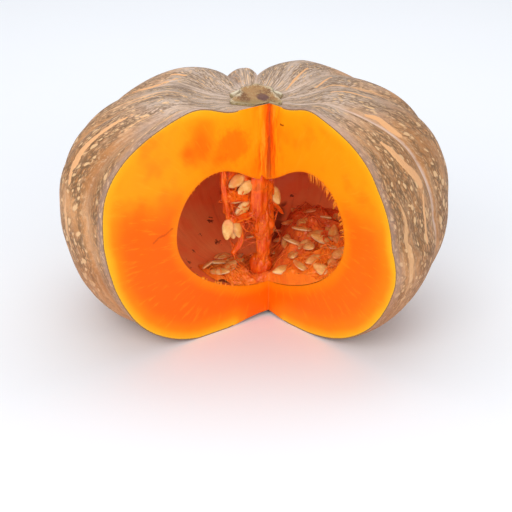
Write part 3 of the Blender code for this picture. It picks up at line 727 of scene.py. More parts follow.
tufts = (  # torn seed cords on the wall, and after them painted shade on the wall behind the hanging pulp
    (0.0304, 0.0688, 0.0612, 0.0030), (0.0336, 0.0603, 0.0513, 0.0034), (0.0441, 0.0554, 0.0524, 0.0024),
    (-0.0311, 0.0494, 0.0493, 0.0034), (-0.0255, 0.0336, 0.0384, 0.0042), (-0.0449, -0.0072, 0.0409, 0.0034),
    (-0.0390, -0.0294, 0.0409, 0.0034), (-0.0430, -0.0190, 0.0400, 0.0026), (-0.0385, 0.0324, 0.0444, 0.0022),
    (-0.0144, 0.0444, 0.0400, 0.0028), (-0.0420, 0.0120, 0.0400, 0.0026),
)
# painted shade spots on the wall behind the hanging pulp, each a middle and a radius
paintedShadeSpots = (
    (0.0177, 0.0543, 0.0435, 0.0075), (0.0183, 0.0613, 0.0500, 0.0075), (0.0179, 0.0466, 0.0384, 0.0080),
)
wallMarks = {
    "tuft": spotMask(hollow, tufts),
    "paintedShade": spotMask(hollow, paintedShadeSpots),
    "wallTrack": np.stack(np.broadcast_arrays(
        hollowTurns * hollowForm["radius"], alongColumns(hollow), 0.0), axis=-1),
    "rimGap": gapToCuts(hollow, hollowTurns),
}
makePiece("hollowWall", [{"points": hollow, "towards": (0.0084, -0.0023, 0.075), "marks": wallMarks}],
          makeWallFinish(), ["pumpkin_body"])


# Cut faces

cutForm = {
    "rows": 300,
    "columns": 48,
    "rimSteps": 400,  # points along a rim from which distances are measured
    "stain": np.array([-0.0110, -0.0260, 0.1327]),  # a redder patch above the hollow
    "stainSize": 0.0150,
    "crack": ((-0.0640, -0.0678, 0.0800), (-0.0600, -0.0648, 0.0828), (-0.0565, -0.0620, 0.0835),
              (-0.0519, -0.0582, 0.0866)),  # in the left face
    "nick": ((0.0188, -0.0160, 0.1442), (0.0196, -0.0168, 0.1438), (0.0206, -0.0179, 0.1440)),  # right
}


def cutFace(column):
    # rows run from the foot of the apex line out round the rim and back to its top; columns
    # blend from the hollow's rim to the rind
    outer = evenly(rind[:, column], cutForm["rows"])
    inward = evenly(hollow[:, column], cutForm["rows"])
    share = np.linspace(0.0, 1.0, cutForm["columns"]) ** 1.15
    return inward[:, None] + (outer - inward)[:, None] * share[None, :, None]


crack = curveThrough(cutForm["crack"], 30)
nick = curveThrough(cutForm["nick"], 8)
cutSheets = []
for column, way in ((0, 1.0), (-1, -1.0)):
    face = cutFace(column)
    toHollow = nearest(face, evenly(hollow[:, column], cutForm["rimSteps"]))
    stainGap = np.linalg.norm(face - cutForm["stain"], axis=-1)
    along = np.linspace(0.0, 1.0, cutForm["rows"])[:, None]
    marks = {
        "toRind": nearest(face, evenly(rind[len(shares):-len(shares), column], cutForm["rimSteps"])),
        "toHollow": toHollow,
        "toApex": np.hypot(face[..., 0] - apex[0], face[..., 1] - apex[1]),
        "upper": smoothStep(0.085, 0.118, face[..., 2]),
        "stain": np.exp(-((stainGap / cutForm["stainSize"]) ** 2)),
        "toCrack": nearest(face, crack),
        "toNick": nearest(face, nick),
        "left": np.full_like(toHollow, 0.5 - 0.5 * way),
        "cutTrack": np.stack(np.broadcast_arrays(along * 0.35, toHollow, way), axis=-1),
    }
    cutSheets.append({"points": face, "towards": (0.01, -0.3, 0.08), "marks": marks})

fleshTones = {
    "underRind": "FFB41C",
    "outer": "FC8804",
    "inner": "F86A03",
    "upper": "FFA60C",
    "leftFaceShade": "F65C02",
    "nearHollow": "FD9608",
    "cloud": "F66606",
    "grain": "FFAC24",
    "stain": "F25A06",
    "apexBand": "F2640A",
    "redStreak": "DE4A06",
    "paleStreak": "FFB02C",
    "apexCore": "B83606",
    "crack": "D24C06",
    "nick": "7A2E08",
    "rim": "F07A0C",
    "yellowEdge": "F0B828",
    "skin": "86684E",
}


def makeFleshFinish():
    f = Finish("flesh", fleshTones, Roughness=0.45, Specular_IOR_Level=0.12, Subsurface_Weight=0.10,
               Subsurface_Radius=(1.0, 0.35, 0.05), Subsurface_Scale=0.004, Coat_Roughness=0.15)
    place = f.place()
    toRind, toHollow, toApex, upper = (f.mark(name) for name in ("toRind", "toHollow", "toApex", "upper"))
    cloud = f.noise(place, 24.0, 3.0)
    grain = f.noise(f.stretch(f.track("cutTrack"), (1.0, 0.25, 1.0)), 260.0, 4.0, 0.6)
    fine = f.noise(place, 900.0, 2.0)
    depth = toRind + (cloud - 0.5) * 0.009
    # painted shade: the left cut face made deeper orange below its upper part
    leftFaceShade = f.mark("left") * (1.0 - upper) * f.mask(depth, 0.004, 0.016)
    stain = f.mark("stain") + (f.noise(place, 95.0, 4.0, 0.7) - 0.5) * 1.5

    # torn fibres where both cuts meet: dark and pale streaks down the apex line
    streaks = f.noise(f.stretch(f.warp(place, 70.0, 0.005), (1.0, 1.0, 0.13)), 190.0, 4.0, 0.65)
    heart = f.fall(toApex + (cloud - 0.5) * 0.020, 0.001, 0.017) * upper
    band = f.fall(toApex + (streaks - 0.5) * 0.008, 0.0030, 0.0070) * upper
    core = f.fall(toApex + (streaks - 0.5) * 0.012, 0.0003, 0.0022) * (0.15 + 0.85 * upper)
    crackle = (fine - 0.5) * 0.0012 + (grain - 0.5) * 0.0010

    f.feed("Base Color", f.coats(
        f.blend(f.mask(depth, 0.000, 0.008), "underRind", "outer"),
        (f.mask(depth, 0.004, 0.020) * 0.9, "inner"),
        (upper * 0.75 * f.mask(cloud, 0.28, 0.52), "upper"),
        # painted shade on the left cut face
        (leftFaceShade * 0.45, "leftFaceShade"),
        (f.fall(toHollow + (cloud - 0.5) * 0.008, 0.001, 0.010) * 0.55, "nearHollow"),
        (f.mask(cloud, 0.56, 0.72) * 0.40, "cloud"),
        (f.mask(grain, 0.54, 0.70) * 0.25, "grain"),
        (f.mask(stain, 0.30, 0.85) * 0.55, "stain"),
        (band * 0.75, "apexBand"),
        (f.mask(streaks, 0.50, 0.60) * heart * 0.85, "redStreak"),
        (f.fall(streaks, 0.38, 0.46) * heart * 0.70, "paleStreak"),
        (core * 0.85, "apexCore"),
        (f.fall(f.mark("toCrack") + crackle, 0.0002, 0.0012) * 0.8, "crack"),
        (f.fall(f.mark("toNick") + crackle, 0.0003, 0.0010) * 0.9, "nick"),
        (f.fall(toHollow + (grain - 0.5) * 0.003, 0.0002, 0.0018) * 0.6, "rim"),
        (f.fall(toRind + (fine - 0.5) * 0.0006, 0.0009, 0.0022) * 0.5, "yellowEdge"),
        (f.fall(toRind + (fine - 0.5) * 0.0004, 0.0005, 0.0010), "skin")))
    f.feed("Roughness", 0.32 + 0.25 * grain)
    f.feed("Coat Weight", 0.06 * f.mask(cloud, 0.35, 0.6))
    f.relief(grain * 0.7 + fine * 0.3 + streaks * heart * 0.9, 0.35, 0.0006)
    return f


makePiece("cutFlesh", cutSheets, makeFleshFinish(), ["pumpkin_body"])


# Stem

stemForm = {
    "centre": np.array([0.003, 0.0]),
    "ridges": np.radians([-35.0, 30.0, 92.0, 150.0, 207.0]),
    "ridgeWidth": math.radians(17.0),
    "levels": np.array([  # height above the seat, radius, how far the ridges stand out
        (0.0000, 0.0172, 0.24),
        (0.0014, 0.0168, 0.26),
        (0.0030, 0.0142, 0.28),
        (0.0052, 0.0116, 0.22),
        (0.0085, 0.0098, 0.16),
        (0.0160, 0.0088, 0.12),
    ]),
    "flutes": ((31.0, 0.0, 0.010), (53.0, 2.0, 0.008)),  # how many, where they start, how deep
    "cutLevel": 0.0044,
    "cutSlope": 0.32,
    "lip": 0.0011,
    "seat": 0.156669,
    "foot": 0.00045,  # how far its lowest edge goes down into the rind
    "grain": 0.0006,
    "knobs": 0.0016,
    "hollowing": 0.0007,  # how far the cut's middle dips, and how deep its pits are
    "pits": 0.0005,
    "pith": np.array([0.0070, -0.0030]),
    "pithSize": 0.0050,
    "columns": 288,
    "sideRows": 70,
    "capRows": 34,
}


def stemCutHeight(y):
    # the slanting cut, which leaves a lip in front
    f = stemForm
    return np.maximum(f["cutLevel"] + f["cutSlope"] * (y - f["centre"][1]), f["lip"])


def stemSide(turn, ridge):
    # A round stub whose ridges stand out by a bell curve each, finely fluted. Above the slanting
    # cut, each column keeps the place where it met the cut.
    f = stemForm
    level = np.linspace(0.0, f["levels"][-1, 0], f["sideRows"])
    radius, stands = (np.interp(level, f["levels"][:, 0], f["levels"][:, k])[:, None] for k in (1, 2))
    fluting = sum(np.sin(turn * count + start) * deep for count, start, deep in f["flutes"])
    spread = radius * (1.0 + stands * ridge) * (1.0 + fluting - 0.02)
    side = np.stack([
        f["centre"][0] + spread * np.cos(turn), f["centre"][1] + spread * np.sin(turn),
        np.broadcast_to(level[:, None], spread.shape)], axis=-1)
    over = side[..., 2] > stemCutHeight(side[..., 1])
    last = np.where(over.any(axis=0), np.argmax(over, axis=0), f["sideRows"] - 1)
    held = side[last, np.arange(f["columns"])]
    held[:, 2] = stemCutHeight(held[:, 1])
    return np.where((np.arange(f["sideRows"])[:, None] >= last)[..., None], held, side), held


def trimToCuts(grid, turn):
    # pulls points in along their rays from the stem's middle until they are behind both cuts
    centre = stemForm["centre"]
    limit = np.full(len(turn), np.inf)
    for bearing in (leftCut, rightCut):
        cutX, cutY = math.cos(bearing), math.sin(bearing)
        cross = np.cos(turn) * cutY - np.sin(turn) * cutX
        cross = np.where(np.abs(cross) < 1e-6, 1e-6, cross)
        reach = ((apex - centre)[0] * cutY - (apex - centre)[1] * cutX) / cross
        meet = centre + reach[:, None] * np.stack([np.cos(turn), np.sin(turn)], axis=-1)
        onCut = (meet[:, 0] - apex[0]) * cutX + (meet[:, 1] - apex[1]) * cutY
        limit = np.where((reach > 0.0) & (onCut > -1e-9), np.minimum(limit, reach), limit)
    flat = grid[..., :2] - centre
    reach = np.hypot(flat[..., 0], flat[..., 1])
    factor = np.where(reach > 1e-9, np.minimum(reach, limit) / np.maximum(reach, 1e-9), 1.0)
    grid[..., :2] = centre + flat * factor[..., None]
    grid[..., 2] = np.minimum(grid[..., 2], stemCutHeight(grid[..., 1]))
    return reach


def makeStem():
    # the side and a cap drawn in to the middle, trimmed, roughened inwards and set on the fruit
    f = stemForm
    turn = np.linspace(0.0, 2.0 * np.pi, f["columns"], endpoint=False)
    apart = (turn[:, None] - f["ridges"] + np.pi) % (2.0 * np.pi) - np.pi
    ridge = np.exp(-((apart / f["ridgeWidth"]) ** 2)).sum(axis=-1)
    side, held = stemSide(turn, ridge)
    share = np.linspace(1.0, 0.0, f["capRows"])[1:, None]
    middle = np.array([*f["centre"], f["cutLevel"]])
    stem = np.concatenate([side, middle + (held - middle) * share[..., None]])
    isCap = np.zeros(stem.shape[:2])
    isCap[f["sideRows"]:] = 1.0
    reach = trimToCuts(stem, turn)
    fromRim = reach / np.maximum(reach[f["sideRows"] - 1], 1e-6)

    grain = softNoise(stem * np.array([1.0, 1.0, 0.35]), 0.0013)
    knobs = softNoise(stem, 0.004)
    inward = -(f["grain"] * (0.5 + 0.5 * grain) + f["knobs"] * (0.5 + 0.5 * knobs)) * (1.0 - isCap)
    flat = stem[..., :2] - f["centre"]
    length = np.maximum(np.hypot(flat[..., 0], flat[..., 1]), 1e-9)[..., None]
    stem[..., :2] += flat / length * inward[..., None] * smoothStep(0.0, 0.002, length)
    dip = smoothStep(0.98, 0.55, fromRim)
    pits = 0.5 + 0.5 * softNoise(stem, 0.0016)
    stem[..., 2] -= isCap * (f["hollowing"] * dip + f["pits"] * pits * dip)
    lowest = isCap * (f["lip"] - 0.0004)
    stem[..., 2] = np.maximum(stem[..., 2], lowest)
    stem[0, :, 2] = -f["foot"]
    stem[..., 2] += f["seat"]

    foot = stem[:1].copy()
    foot[..., :2] = f["centre"]
    stem = np.concatenate([foot, stem])
    isCap, fromRim = (np.concatenate([values[:1], values]) for values in (isCap, fromRim))
    pithGap = np.hypot(*(stem[..., :2] - f["pith"]).transpose(2, 0, 1))
    return {"points": stem, "wrap": True, "marks": {
        "pith": np.exp(-((pithGap / f["pithSize"]) ** 2)),
        "ridge": np.broadcast_to(np.clip(ridge, 0.0, 1.0), isCap.shape),
        "cap": isCap,
        "middle": np.clip(fromRim, 0.0, 1.5),
        "height": stem[..., 2] - f["seat"],
    }}


stemTones = {
    "pale": "C8B294",
    "deep": "9A8468",
    "ridge": "E8DCC0",
    "foot": "A8926E",
    "paleCork": "DDD0B4",
    "darkCork": "6C5D3E",
    "paleWood": "AE8458",
    "deepWood": "80583A",
    "rings": "B79D72",
    "pith": "6B4A48",
    "bark": "E0CFAE",
    "olive": "968456",
}


def makeStemFinish():
    f = Finish("stem", stemTones, Roughness=0.75, Specular_IOR_Level=0.25)
    place = f.place()
    cap, height = f.mark("cap"), f.mark("height")
    cork = f.noise(f.stretch(place, (1.0, 1.0, 0.3)), 600.0, 4.0, 0.65)
    cloud = f.noise(place, 130.0, 3.0)
    rings = f.noise(f.stretch(place, (1.0, 1.0, 0.4)), 900.0, 3.0, 0.7)
    pith = f.mask(f.mark("pith") + (cloud - 0.5) * 0.8, 0.35, 0.75)
    bark = f.mask(f.mark("middle") + (rings - 0.5) * 0.5 + (cloud - 0.5) * 0.5, 0.74, 1.00)
    side = f.coats(
        f.blend(f.mask(cloud, 0.35, 0.65), "pale", "deep"),
        (f.mask(f.mark("ridge"), 0.35, 0.8), "ridge"),
        (f.fall(height, 0.0008, 0.0026) * 0.7, "foot"),
        (f.mask(cork, 0.55, 0.68) * 0.5, "paleCork"),
        (f.fall(cork, 0.34, 0.46) * 0.7, "darkCork"))
    wood = f.coats(
        f.blend(f.mask(cloud, 0.4, 0.6), "paleWood", "deepWood"),
        (f.mask(rings, 0.50, 0.64) * 0.7, "rings"),
        (pith * 0.85, "pith"),
        (bark * 0.85, "bark"))
    olive = f.fall(height + (cloud - 0.5) * 0.003, 0.0006, 0.0020)
    f.feed("Base Color", f.coats(side, (cap, wood), (olive * 0.5, "olive")))
    f.feed("Roughness", 0.62 + 0.25 * cork)
    f.relief(cork + rings * cap * 0.6 - pith * cap * 0.5, 0.7, 0.0010)
    return f


makePiece("stemStub", [makeStem()], makeStemFinish(), ["stem"])


# Seeds

seedForm = {"length": 0.0150, "width": 0.0080, "thickness": 0.0030}


def seedShapes(roots, aheads, facings, rows, columns):
    # Half width is w * sin(pi * s^0.8)^0.6 along the seed, half thickness goes with the same
    # swelling to the 0.6, with a flattened back and a thin rim that stands out all round.
    roots, aheads, facings = (np.asarray(v, dtype=float) for v in (roots, aheads, facings))
    aheads = aheads / np.linalg.norm(aheads, axis=-1, keepdims=True)
    facings = facings - aheads * (aheads * facings).sum(axis=-1, keepdims=True)
    facings = facings / np.linalg.norm(facings, axis=-1, keepdims=True)
    sides = np.cross(facings, aheads)
    s = 0.5 - 0.5 * np.cos(np.linspace(0.0, np.pi, rows))
    angle = np.linspace(0.0, 2.0 * np.pi, columns, endpoint=False)
    edge = np.abs(np.cos(angle))
    swell = np.clip(np.sin(np.pi * s**0.8), 0.0, 1.0) ** 0.6
    across = seedForm["width"] / 2.0 * swell[:, None] * np.cos(angle)
    belly = np.sign(np.sin(angle)) * np.abs(np.sin(angle)) ** 0.75
    flank = 1.0 - 0.22 * smoothStep(0.45, 0.8, edge) + 0.12 * smoothStep(0.8, 0.97, edge)
    deep = seedForm["thickness"] / 2.0 * (swell**0.6)[:, None] * belly * flank
    points = (roots[:, None, None]
              + (s * seedForm["length"])[:, None, None] * aheads[:, None, None]
              + across[..., None] * sides[:, None, None]
              + deep[..., None] * facings[:, None, None])
    local = np.stack(np.broadcast_arrays((s * seedForm["length"])[:, None], across, deep), axis=-1)
    own = np.arange(len(roots))[:, None, None, None] * 0.05  # sets each seed's pattern apart
    return {"points": points, "wrap": True, "marks": {
        "seedTrack": local + own,
        "seedEdge": np.broadcast_to(edge, points.shape[:-1]),
        "seedTip": np.broadcast_to(s[:, None], points.shape[:-1]),
    }}


seedTones = {
    "pale": "F6C67C",
    "deep": "E0A450",
    "margin": "C88A4C",
    "rim": "F6DCB0",
    "tip": "D87C34",
    "grain": "C08A50",
    "film": "E0701C",
}


def makeSeedFinish(name, smeared):
    f = Finish(name, seedTones, Roughness=0.35, Specular_IOR_Level=0.5, Subsurface_Weight=0.15,
               Subsurface_Radius=(1.0, 0.6, 0.3), Subsurface_Scale=0.002, Coat_Roughness=0.12)
    track = f.track("seedTrack")
    edge = f.mark("seedEdge")
    cloud = f.noise(track, 240.0, 3.0)
    grain = f.noise(f.stretch(track, (0.25, 1.0, 1.0)), 1500.0, 3.0)
    film = f.mask(f.noise(track, 150.0, 2.0), 0.60 - smeared * 0.25, 0.76 - smeared * 0.1)
    f.feed("Base Color", f.coats(
        f.blend(f.mask(cloud, 0.35, 0.65), "pale", "deep"),
        (f.mask(edge, 0.70, 0.90) * 0.55, "margin"),
        (f.mask(edge, 0.93, 0.99) * 0.5, "rim"),
        (f.fall(f.mark("seedTip"), 0.04, 0.26) * 0.7, "tip"),
        (f.mask(grain, 0.55, 0.7) * 0.3, "grain"),
        (film * smeared, "film")))
    f.feed("Roughness", 0.28 + 0.25 * grain)
    f.feed("Coat Weight", 0.35 * f.mask(cloud, 0.3, 0.6))
    f.relief(grain * 0.6 + cloud * 0.4, 0.35, 0.0003)
    return f


hangingSeeds = np.array([  # pointed end, direction, the way the flat side faces
    (-0.0055, -0.0142, 0.1075, -0.69, -0.64, -0.34, 0.50, -0.80, 0.30),
    (0.0006, -0.0120, 0.1020, -0.70, -0.60, -0.38, 0.45, -0.80, 0.40),
    (-0.0039, -0.0142, 0.0955, -0.76, -0.55, -0.30, 0.30, -0.70, 0.60),
    (-0.0020, -0.0128, 0.0880, -0.66, -0.52, -0.54, 0.50, -0.85, 0.10),
    (-0.0159, -0.0260, 0.0805, -0.10, -0.18, -0.98, 0.10, -1.00, 0.20),
    (-0.0121, -0.0220, 0.0795, 0.24, 0.00, -0.97, 0.60, -0.80, 0.00),
    (-0.0141, -0.0226, 0.0785, 0.10, 0.10, -0.99, 0.30, -1.00, 0.00),
    (0.0134, -0.0016, 0.0950, 0.36, 0.10, -0.93, 0.50, -0.85, 0.10),
    (-0.0031, -0.0100, 0.1050, -0.50, 0.70, -0.50, -0.80, -0.50, 0.10),
    (0.0077, -0.0032, 0.0945, -0.30, 0.85, -0.40, 0.70, 0.30, 0.60),
    (0.0111, -0.0018, 0.0850, 0.50, 0.75, -0.40, 0.60, -0.50, 0.60),
    (0.0009, -0.0070, 0.0780, -0.60, 0.65, -0.45, 0.30, 0.60, 0.70),
    (0.0109, -0.0022, 0.0650, 0.35, 0.85, -0.35, 0.80, -0.20, 0.50),
    (0.0051, -0.0068, 0.0600, -0.60, 0.70, -0.35, -0.20, 0.40, 0.90),
])
makePiece("hangingSeeds", [seedShapes(*np.split(hangingSeeds, 3, axis=1), 30, 36)],
          makeSeedFinish("hangingSeeds", 0.5), ["pulp_core"])


# Hanging pulp

pulpForm = {
    "strandRows": 70,
    "strandSides": 26,
    "clotRows": 44,
    "clotColumns": 56,
    "threads": 150,
    "threadRadius": 0.00034,
    "taper": 14.0,  # one over the share of a strand that each of its ends takes
    "furrow": (0.0015, 0.34),  # cell and depth of the ridges along a strand, as shares of its radius
    "swelling": (0.0035, 0.22),
    "furrowTop": 0.16,
    "fold": (0.36, 0.16),  # cell and depth of a clot's folds and creases, as shares of its size
    "crease": (0.13, 0.07),
    "threadSpan": 0.030,  # the longest gap that a thread crosses
    "threadBow": 0.0028,
    "seed": 23,
}
strands = [  # path, radius at its start and its end
    (((0.0067, -0.0060, 0.1110), (0.0067, -0.0067, 0.0870), (0.0075, -0.0081, 0.0680),
      (0.0085, -0.0045, 0.0480), (0.0061, -0.0030, 0.0290)), 0.0052, 0.0034),
    (((0.0121, -0.0005, 0.1110), (0.0107, -0.0030, 0.0890), (0.0121, -0.0030, 0.0690),
      (0.0093, -0.0010, 0.0490), (0.0101, 0.0020, 0.0300)), 0.0036, 0.0030),
    (((0.0017, -0.0090, 0.1110), (0.0027, -0.0100, 0.0870), (0.0027, -0.0100, 0.0690),
      (0.0061, -0.0060, 0.0530), (0.0019, -0.0050, 0.0300)), 0.0038, 0.0028),
    (((-0.0075, -0.0130, 0.1160), (-0.0037, -0.0105, 0.0970), (-0.0005, -0.0100, 0.0870),
      (0.0039, -0.0090, 0.0750)), 0.0044, 0.0038),
    (((-0.0197, -0.0286, 0.1180), (-0.0191, -0.0282, 0.1010), (-0.0171, -0.0267, 0.0900),
      (-0.0159, -0.0260, 0.0790)), 0.0025, 0.0016),
    (((-0.0181, -0.0270, 0.0980), (-0.0126, -0.0220, 0.0950), (-0.0031, -0.0135, 0.0910)),
     0.0032, 0.0034),
    (((-0.0141, -0.0238, 0.0780), (-0.0063, -0.0167, 0.0780), (0.0019, -0.0104, 0.0780)),
     0.0026, 0.0036),
    (((-0.0101, -0.0205, 0.0770), (-0.0077, -0.0160, 0.0630), (-0.0111, -0.0165, 0.0540),
      (-0.0141, -0.0170, 0.0500)), 0.0024, 0.0018),
    (((0.0113, -0.0030, 0.1080), (0.0137, -0.0013, 0.0870), (0.0173, 0.0008, 0.0790),
      (0.0221, 0.0040, 0.0720)), 0.0027, 0.0011),
]
clots = [  # centre, half sizes, turn about the upright
    ((0.0073, -0.0065, 0.0680), (0.0094, 0.0066, 0.0120), 20.0),
    ((0.0065, -0.0058, 0.0940), (0.0100, 0.0062, 0.0105), 30.0),
    ((-0.0149, -0.0244, 0.0955), (0.0050, 0.0036, 0.0056), 40.0),
    ((-0.0136, -0.0235, 0.0790), (0.0042, 0.0034, 0.0036), 35.0),
    ((0.0059, -0.0020, 0.0370), (0.0090, 0.0085, 0.0090), 0.0),
    ((-0.0108, -0.0154, 0.1020), (0.0135, 0.0013, 0.0160), 40.0),  # thin membranes
    ((0.0048, -0.0104, 0.0905), (0.0086, 0.0044, 0.0245), 32.0),
    ((-0.0160, -0.0222, 0.0890), (0.0060, 0.0012, 0.0085), 42.0),
    ((0.0075, -0.0060, 0.0560), (0.0062, 0.0050, 0.0180), 20.0),
]


def strandShape(knots, first, last):
    # a swept round strand, ridged along its length and frayed to a point at both ends
    path = curveThrough(knots, pulpForm["strandRows"])
    share = np.linspace(0.0, 1.0, len(path))
    ends = np.clip(np.minimum(share, 1.0 - share) * pulpForm["taper"], 0.0, 1.0) ** 0.5
    radii = (first + (last - first) * share) * ends
    skin, ring = sweep(path, radii, pulpForm["strandSides"])
    angle = np.linspace(0.0, 2.0 * np.pi, pulpForm["strandSides"], endpoint=False)
    domain = np.stack(np.broadcast_arrays(
        np.cos(angle) * 0.004, np.sin(angle) * 0.004, share[:, None] * 0.010 + first * 9.0), axis=-1)
    furrows = layeredNoise(domain, [pulpForm["furrow"]]) + layeredNoise(skin, [pulpForm["swelling"]])
    skin = skin + ring * (radii[:, None] * (furrows - pulpForm["furrowTop"]))[..., None]
    track = np.stack(np.broadcast_arrays(
        np.cos(angle) * first, np.sin(angle) * first, path[:, 2][:, None]), axis=-1)
    return {"points": skin, "wrap": True, "marks": {"pulpTrack": track}}


def clotShape(centre, halfSizes, turn):
    # a ball drawn out to its half sizes, its skin pushed in by noise in folds
    rowAngle = np.linspace(-np.pi / 2.0, np.pi / 2.0, pulpForm["clotRows"])[:, None]
    angle = np.linspace(0.0, 2.0 * np.pi, pulpForm["clotColumns"], endpoint=False)[None]
    ball = np.stack(np.broadcast_arrays(
        np.cos(rowAngle) * np.cos(angle), np.cos(rowAngle) * np.sin(angle), np.sin(rowAngle)), axis=-1)
    foldCell, foldDepth = pulpForm["fold"]
    creaseCell, creaseDepth = pulpForm["crease"]
    tall = ball * np.array([1.0, 1.0, 0.45]) + centre[0] * 90.0  # no two clots fold alike
    folds = 1.0 - foldDepth * (1.0 - softNoise(tall, foldCell))
    folds = folds - creaseDepth * softNoise(ball * np.array([1.0, 1.0, 0.5]), creaseCell)
    drawn = ball * folds[..., None] * np.array(halfSizes)
    spin = math.radians(turn)
    x = drawn[..., 0] * math.cos(spin) - drawn[..., 1] * math.sin(spin)
    y = drawn[..., 0] * math.sin(spin) + drawn[..., 1] * math.cos(spin)
    points = np.stack([x, y, drawn[..., 2]], axis=-1) + np.array(centre)
    return {"points": points, "wrap": True, "marks": {"pulpTrack": points}}


pulpTones = {
    "bright": "F4680C",
    "dull": "DE4C0A",
    "paleFibre": "FF9A2C",
    "darkFibre": "B83C10",
    "deep": "933018",
    # painted light for the bed's front and painted shade for its back
    "litFront": "FF8C1E",
    "shadedBehind": "D8562C",
}


def makePulpFinish(name, tones, depth, litFromFront=False):
    f = Finish(name, tones, Roughness=0.3, Specular_IOR_Level=0.25, Subsurface_Weight=0.2,
               Subsurface_Radius=(1.0, 0.3, 0.05), Subsurface_Scale=0.004, Coat_Roughness=0.1)
    place = f.place()
    cloud = f.noise(place, 110.0, 4.0)
    fibre = f.noise(f.stretch(f.track("pulpTrack"), (1.0, 1.0, 0.12)), 900.0, 4.0, 0.6)
    colour = f.coats(
        f.blend(f.mask(cloud, 0.35, 0.62), "bright", "dull"),
        (f.mask(fibre, 0.54, 0.68) * 0.45, "paleFibre"),
        (f.fall(fibre, 0.32, 0.44) * 0.3, "darkFibre"),
        (f.fall(cloud, 0.28, 0.42) * depth, "deep"))
    # painted light on the bed's front and painted shade further back
    if litFromFront:
        back = f.node("ShaderNodeSeparateXYZ", {}, {0: place}, 1) + (cloud - 0.5) * 0.02
        colour = f.coats(
            colour,
            (f.fall(back, -0.040, -0.012) * 0.55, "litFront"),
            (f.mask(back, -0.008, 0.016) * 0.6, "shadedBehind"))
    f.feed("Base Color", colour)
    f.feed("Roughness", 0.22 + 0.3 * fibre)
    f.feed("Coat Weight", 0.22 * f.mask(cloud, 0.3, 0.6))
    f.relief(fibre * 0.6 + cloud * 0.6, 0.5, 0.0008)
    return f


def strandThreads():
    # fine threads from strand to strand, sagging a little
    f = pulpForm
    draw = np.random.default_rng(f["seed"])
    ropes = np.array([curveThrough(strand[0], 40) for strand in strands])
    leave = draw.integers(0, len(ropes), f["threads"])
    land = draw.integers(0, len(ropes), f["threads"])
    leaveAt = draw.integers(2, 38, f["threads"])
    landAt = np.clip(leaveAt + draw.integers(-12, 14, f["threads"]), 1, 38)
    start, end = ropes[leave, leaveAt], ropes[land, landAt]
    short = np.linalg.norm(start - end, axis=-1) < f["threadSpan"]
    start, end = start[short], end[short]
    bow = draw.normal(0.0, f["threadBow"], (len(start), 2, 3)) - np.array([0.0, 0.001, 0.002])
    knots = np.stack([
        start, start + (end - start) * 0.35 + bow[:, 0], start + (end - start) * 0.7 + bow[:, 1], end],
        axis=1)
    taper = np.array([0.2, 0.8, 1.0, 1.0, 0.9, 0.8, 0.8, 0.9, 1.0, 1.0, 0.8, 0.2])
    radii = f["threadRadius"] * draw.uniform(0.5, 1.5, (len(knots), 1)) * taper
    return tubes(curveThrough(knots, len(taper)), radii, 5)


hangingFinish = makePulpFinish("hangingPulp", pulpTones, 0.4)
pulpSheets = [strandShape(*strand) for strand in strands] + [clotShape(*clot) for clot in clots]
makePiece("hangingPulp", pulpSheets, hangingFinish, ["pulp_core"])
makePiece("pulpThreads", [strandThreads()], hangingFinish, ["pulp_core"])


# Pulp on the floor of the hollow

bedForm = {
    "level": 0.0340,
    "rise": 0.0115,  # on the right
    "backDrop": 0.0120,  # behind on the left
    "sideRise": 0.012,  # more towards the right wall
    "farRise": 0.010,
    "humps": ((0.038, 0.036, 0.0130, 0.024), (-0.020, -0.010, 0.0045, 0.018), (0.062, -0.016, 0.0050, 0.018)),
    "clots": 0.0017,
    "waves": 0.0012,
    "edgeDrop": 0.006,  # along the cuts
    "edgeWidth": 0.009,
    "clearance": 0.0004,
    "rows": 150,
    "columns": 260,
    "skirtRows": 14,
    "folds": ((0.0055, 0.0022), (0.0024, 0.0012)),  # cell and depth of the creases
    "grain": (0.0012, 0.0004),
    "threads": 330,
    "threadRadius": 0.0003,
    "seed": 31,
}


def behindCuts(x, y):
    # distance from a point of the kept fruit to the nearer cut
    away = []
    for bearing in (leftCut, rightCut):
        cutX, cutY = math.cos(bearing), math.sin(bearing)
        ahead = (x - apex[0]) * cutX + (y - apex[1]) * cutY
        aside = np.abs((x - apex[0]) * cutY - (y - apex[1]) * cutX)
        away.append(np.where(ahead > 0.0, aside, np.hypot(x - apex[0], y - apex[1])))
    return np.minimum(away[0], away[1])


def bedHeight(x, y):
    # a low plain that rises to the right and drops behind on the left, bell-shaped humps, a
    # drop along the cuts, and small clots from products of sines
    f = bedForm
    along = np.clip((x - hollowForm["centre"][0]) / hollowForm["radius"], 0.0, 1.0)
    deep = np.clip((y - hollowForm["centre"][1]) / hollowForm["radius"], -1.0, 1.0)
    toRight = smoothStep(0.005, 0.035, x)
    height = f["level"] + f["rise"] * toRight + f["sideRise"] * along**1.5
    height = height + f["farRise"] * along**2 * deep**2
    height = height - f["backDrop"] * smoothStep(0.008, 0.034, y) * (1.0 - toRight)
    for humpX, humpY, rise, radius in f["humps"]:
        height = height + rise * np.exp(-(np.hypot(x - humpX, y - humpY) / radius) ** 2)
    height = height - f["edgeDrop"] * np.exp(-behindCuts(x, y) / f["edgeWidth"])
    clots = f["clots"] * np.sin(260.0 * x + 1.0) * np.sin(230.0 * y + 0.4)
    return height + clots + f["waves"] * np.sin(410.0 * x + 350.0 * y)


def floorHeight(x, y):
    # the hollow's bare floor: level - down * sqrt(1 - (reach / radius)^(2 / roundness))
    f = hollowForm
    gap = np.hypot(x - f["centre"][0], y - f["centre"][1]) / (f["radius"] - bedForm["clearance"])
    drop = np.sqrt(1.0 - np.clip(gap, 0.0, 1.0) ** (2.0 / f["roundDown"]))
    return f["level"] - (f["down"] - bedForm["clearance"]) * drop


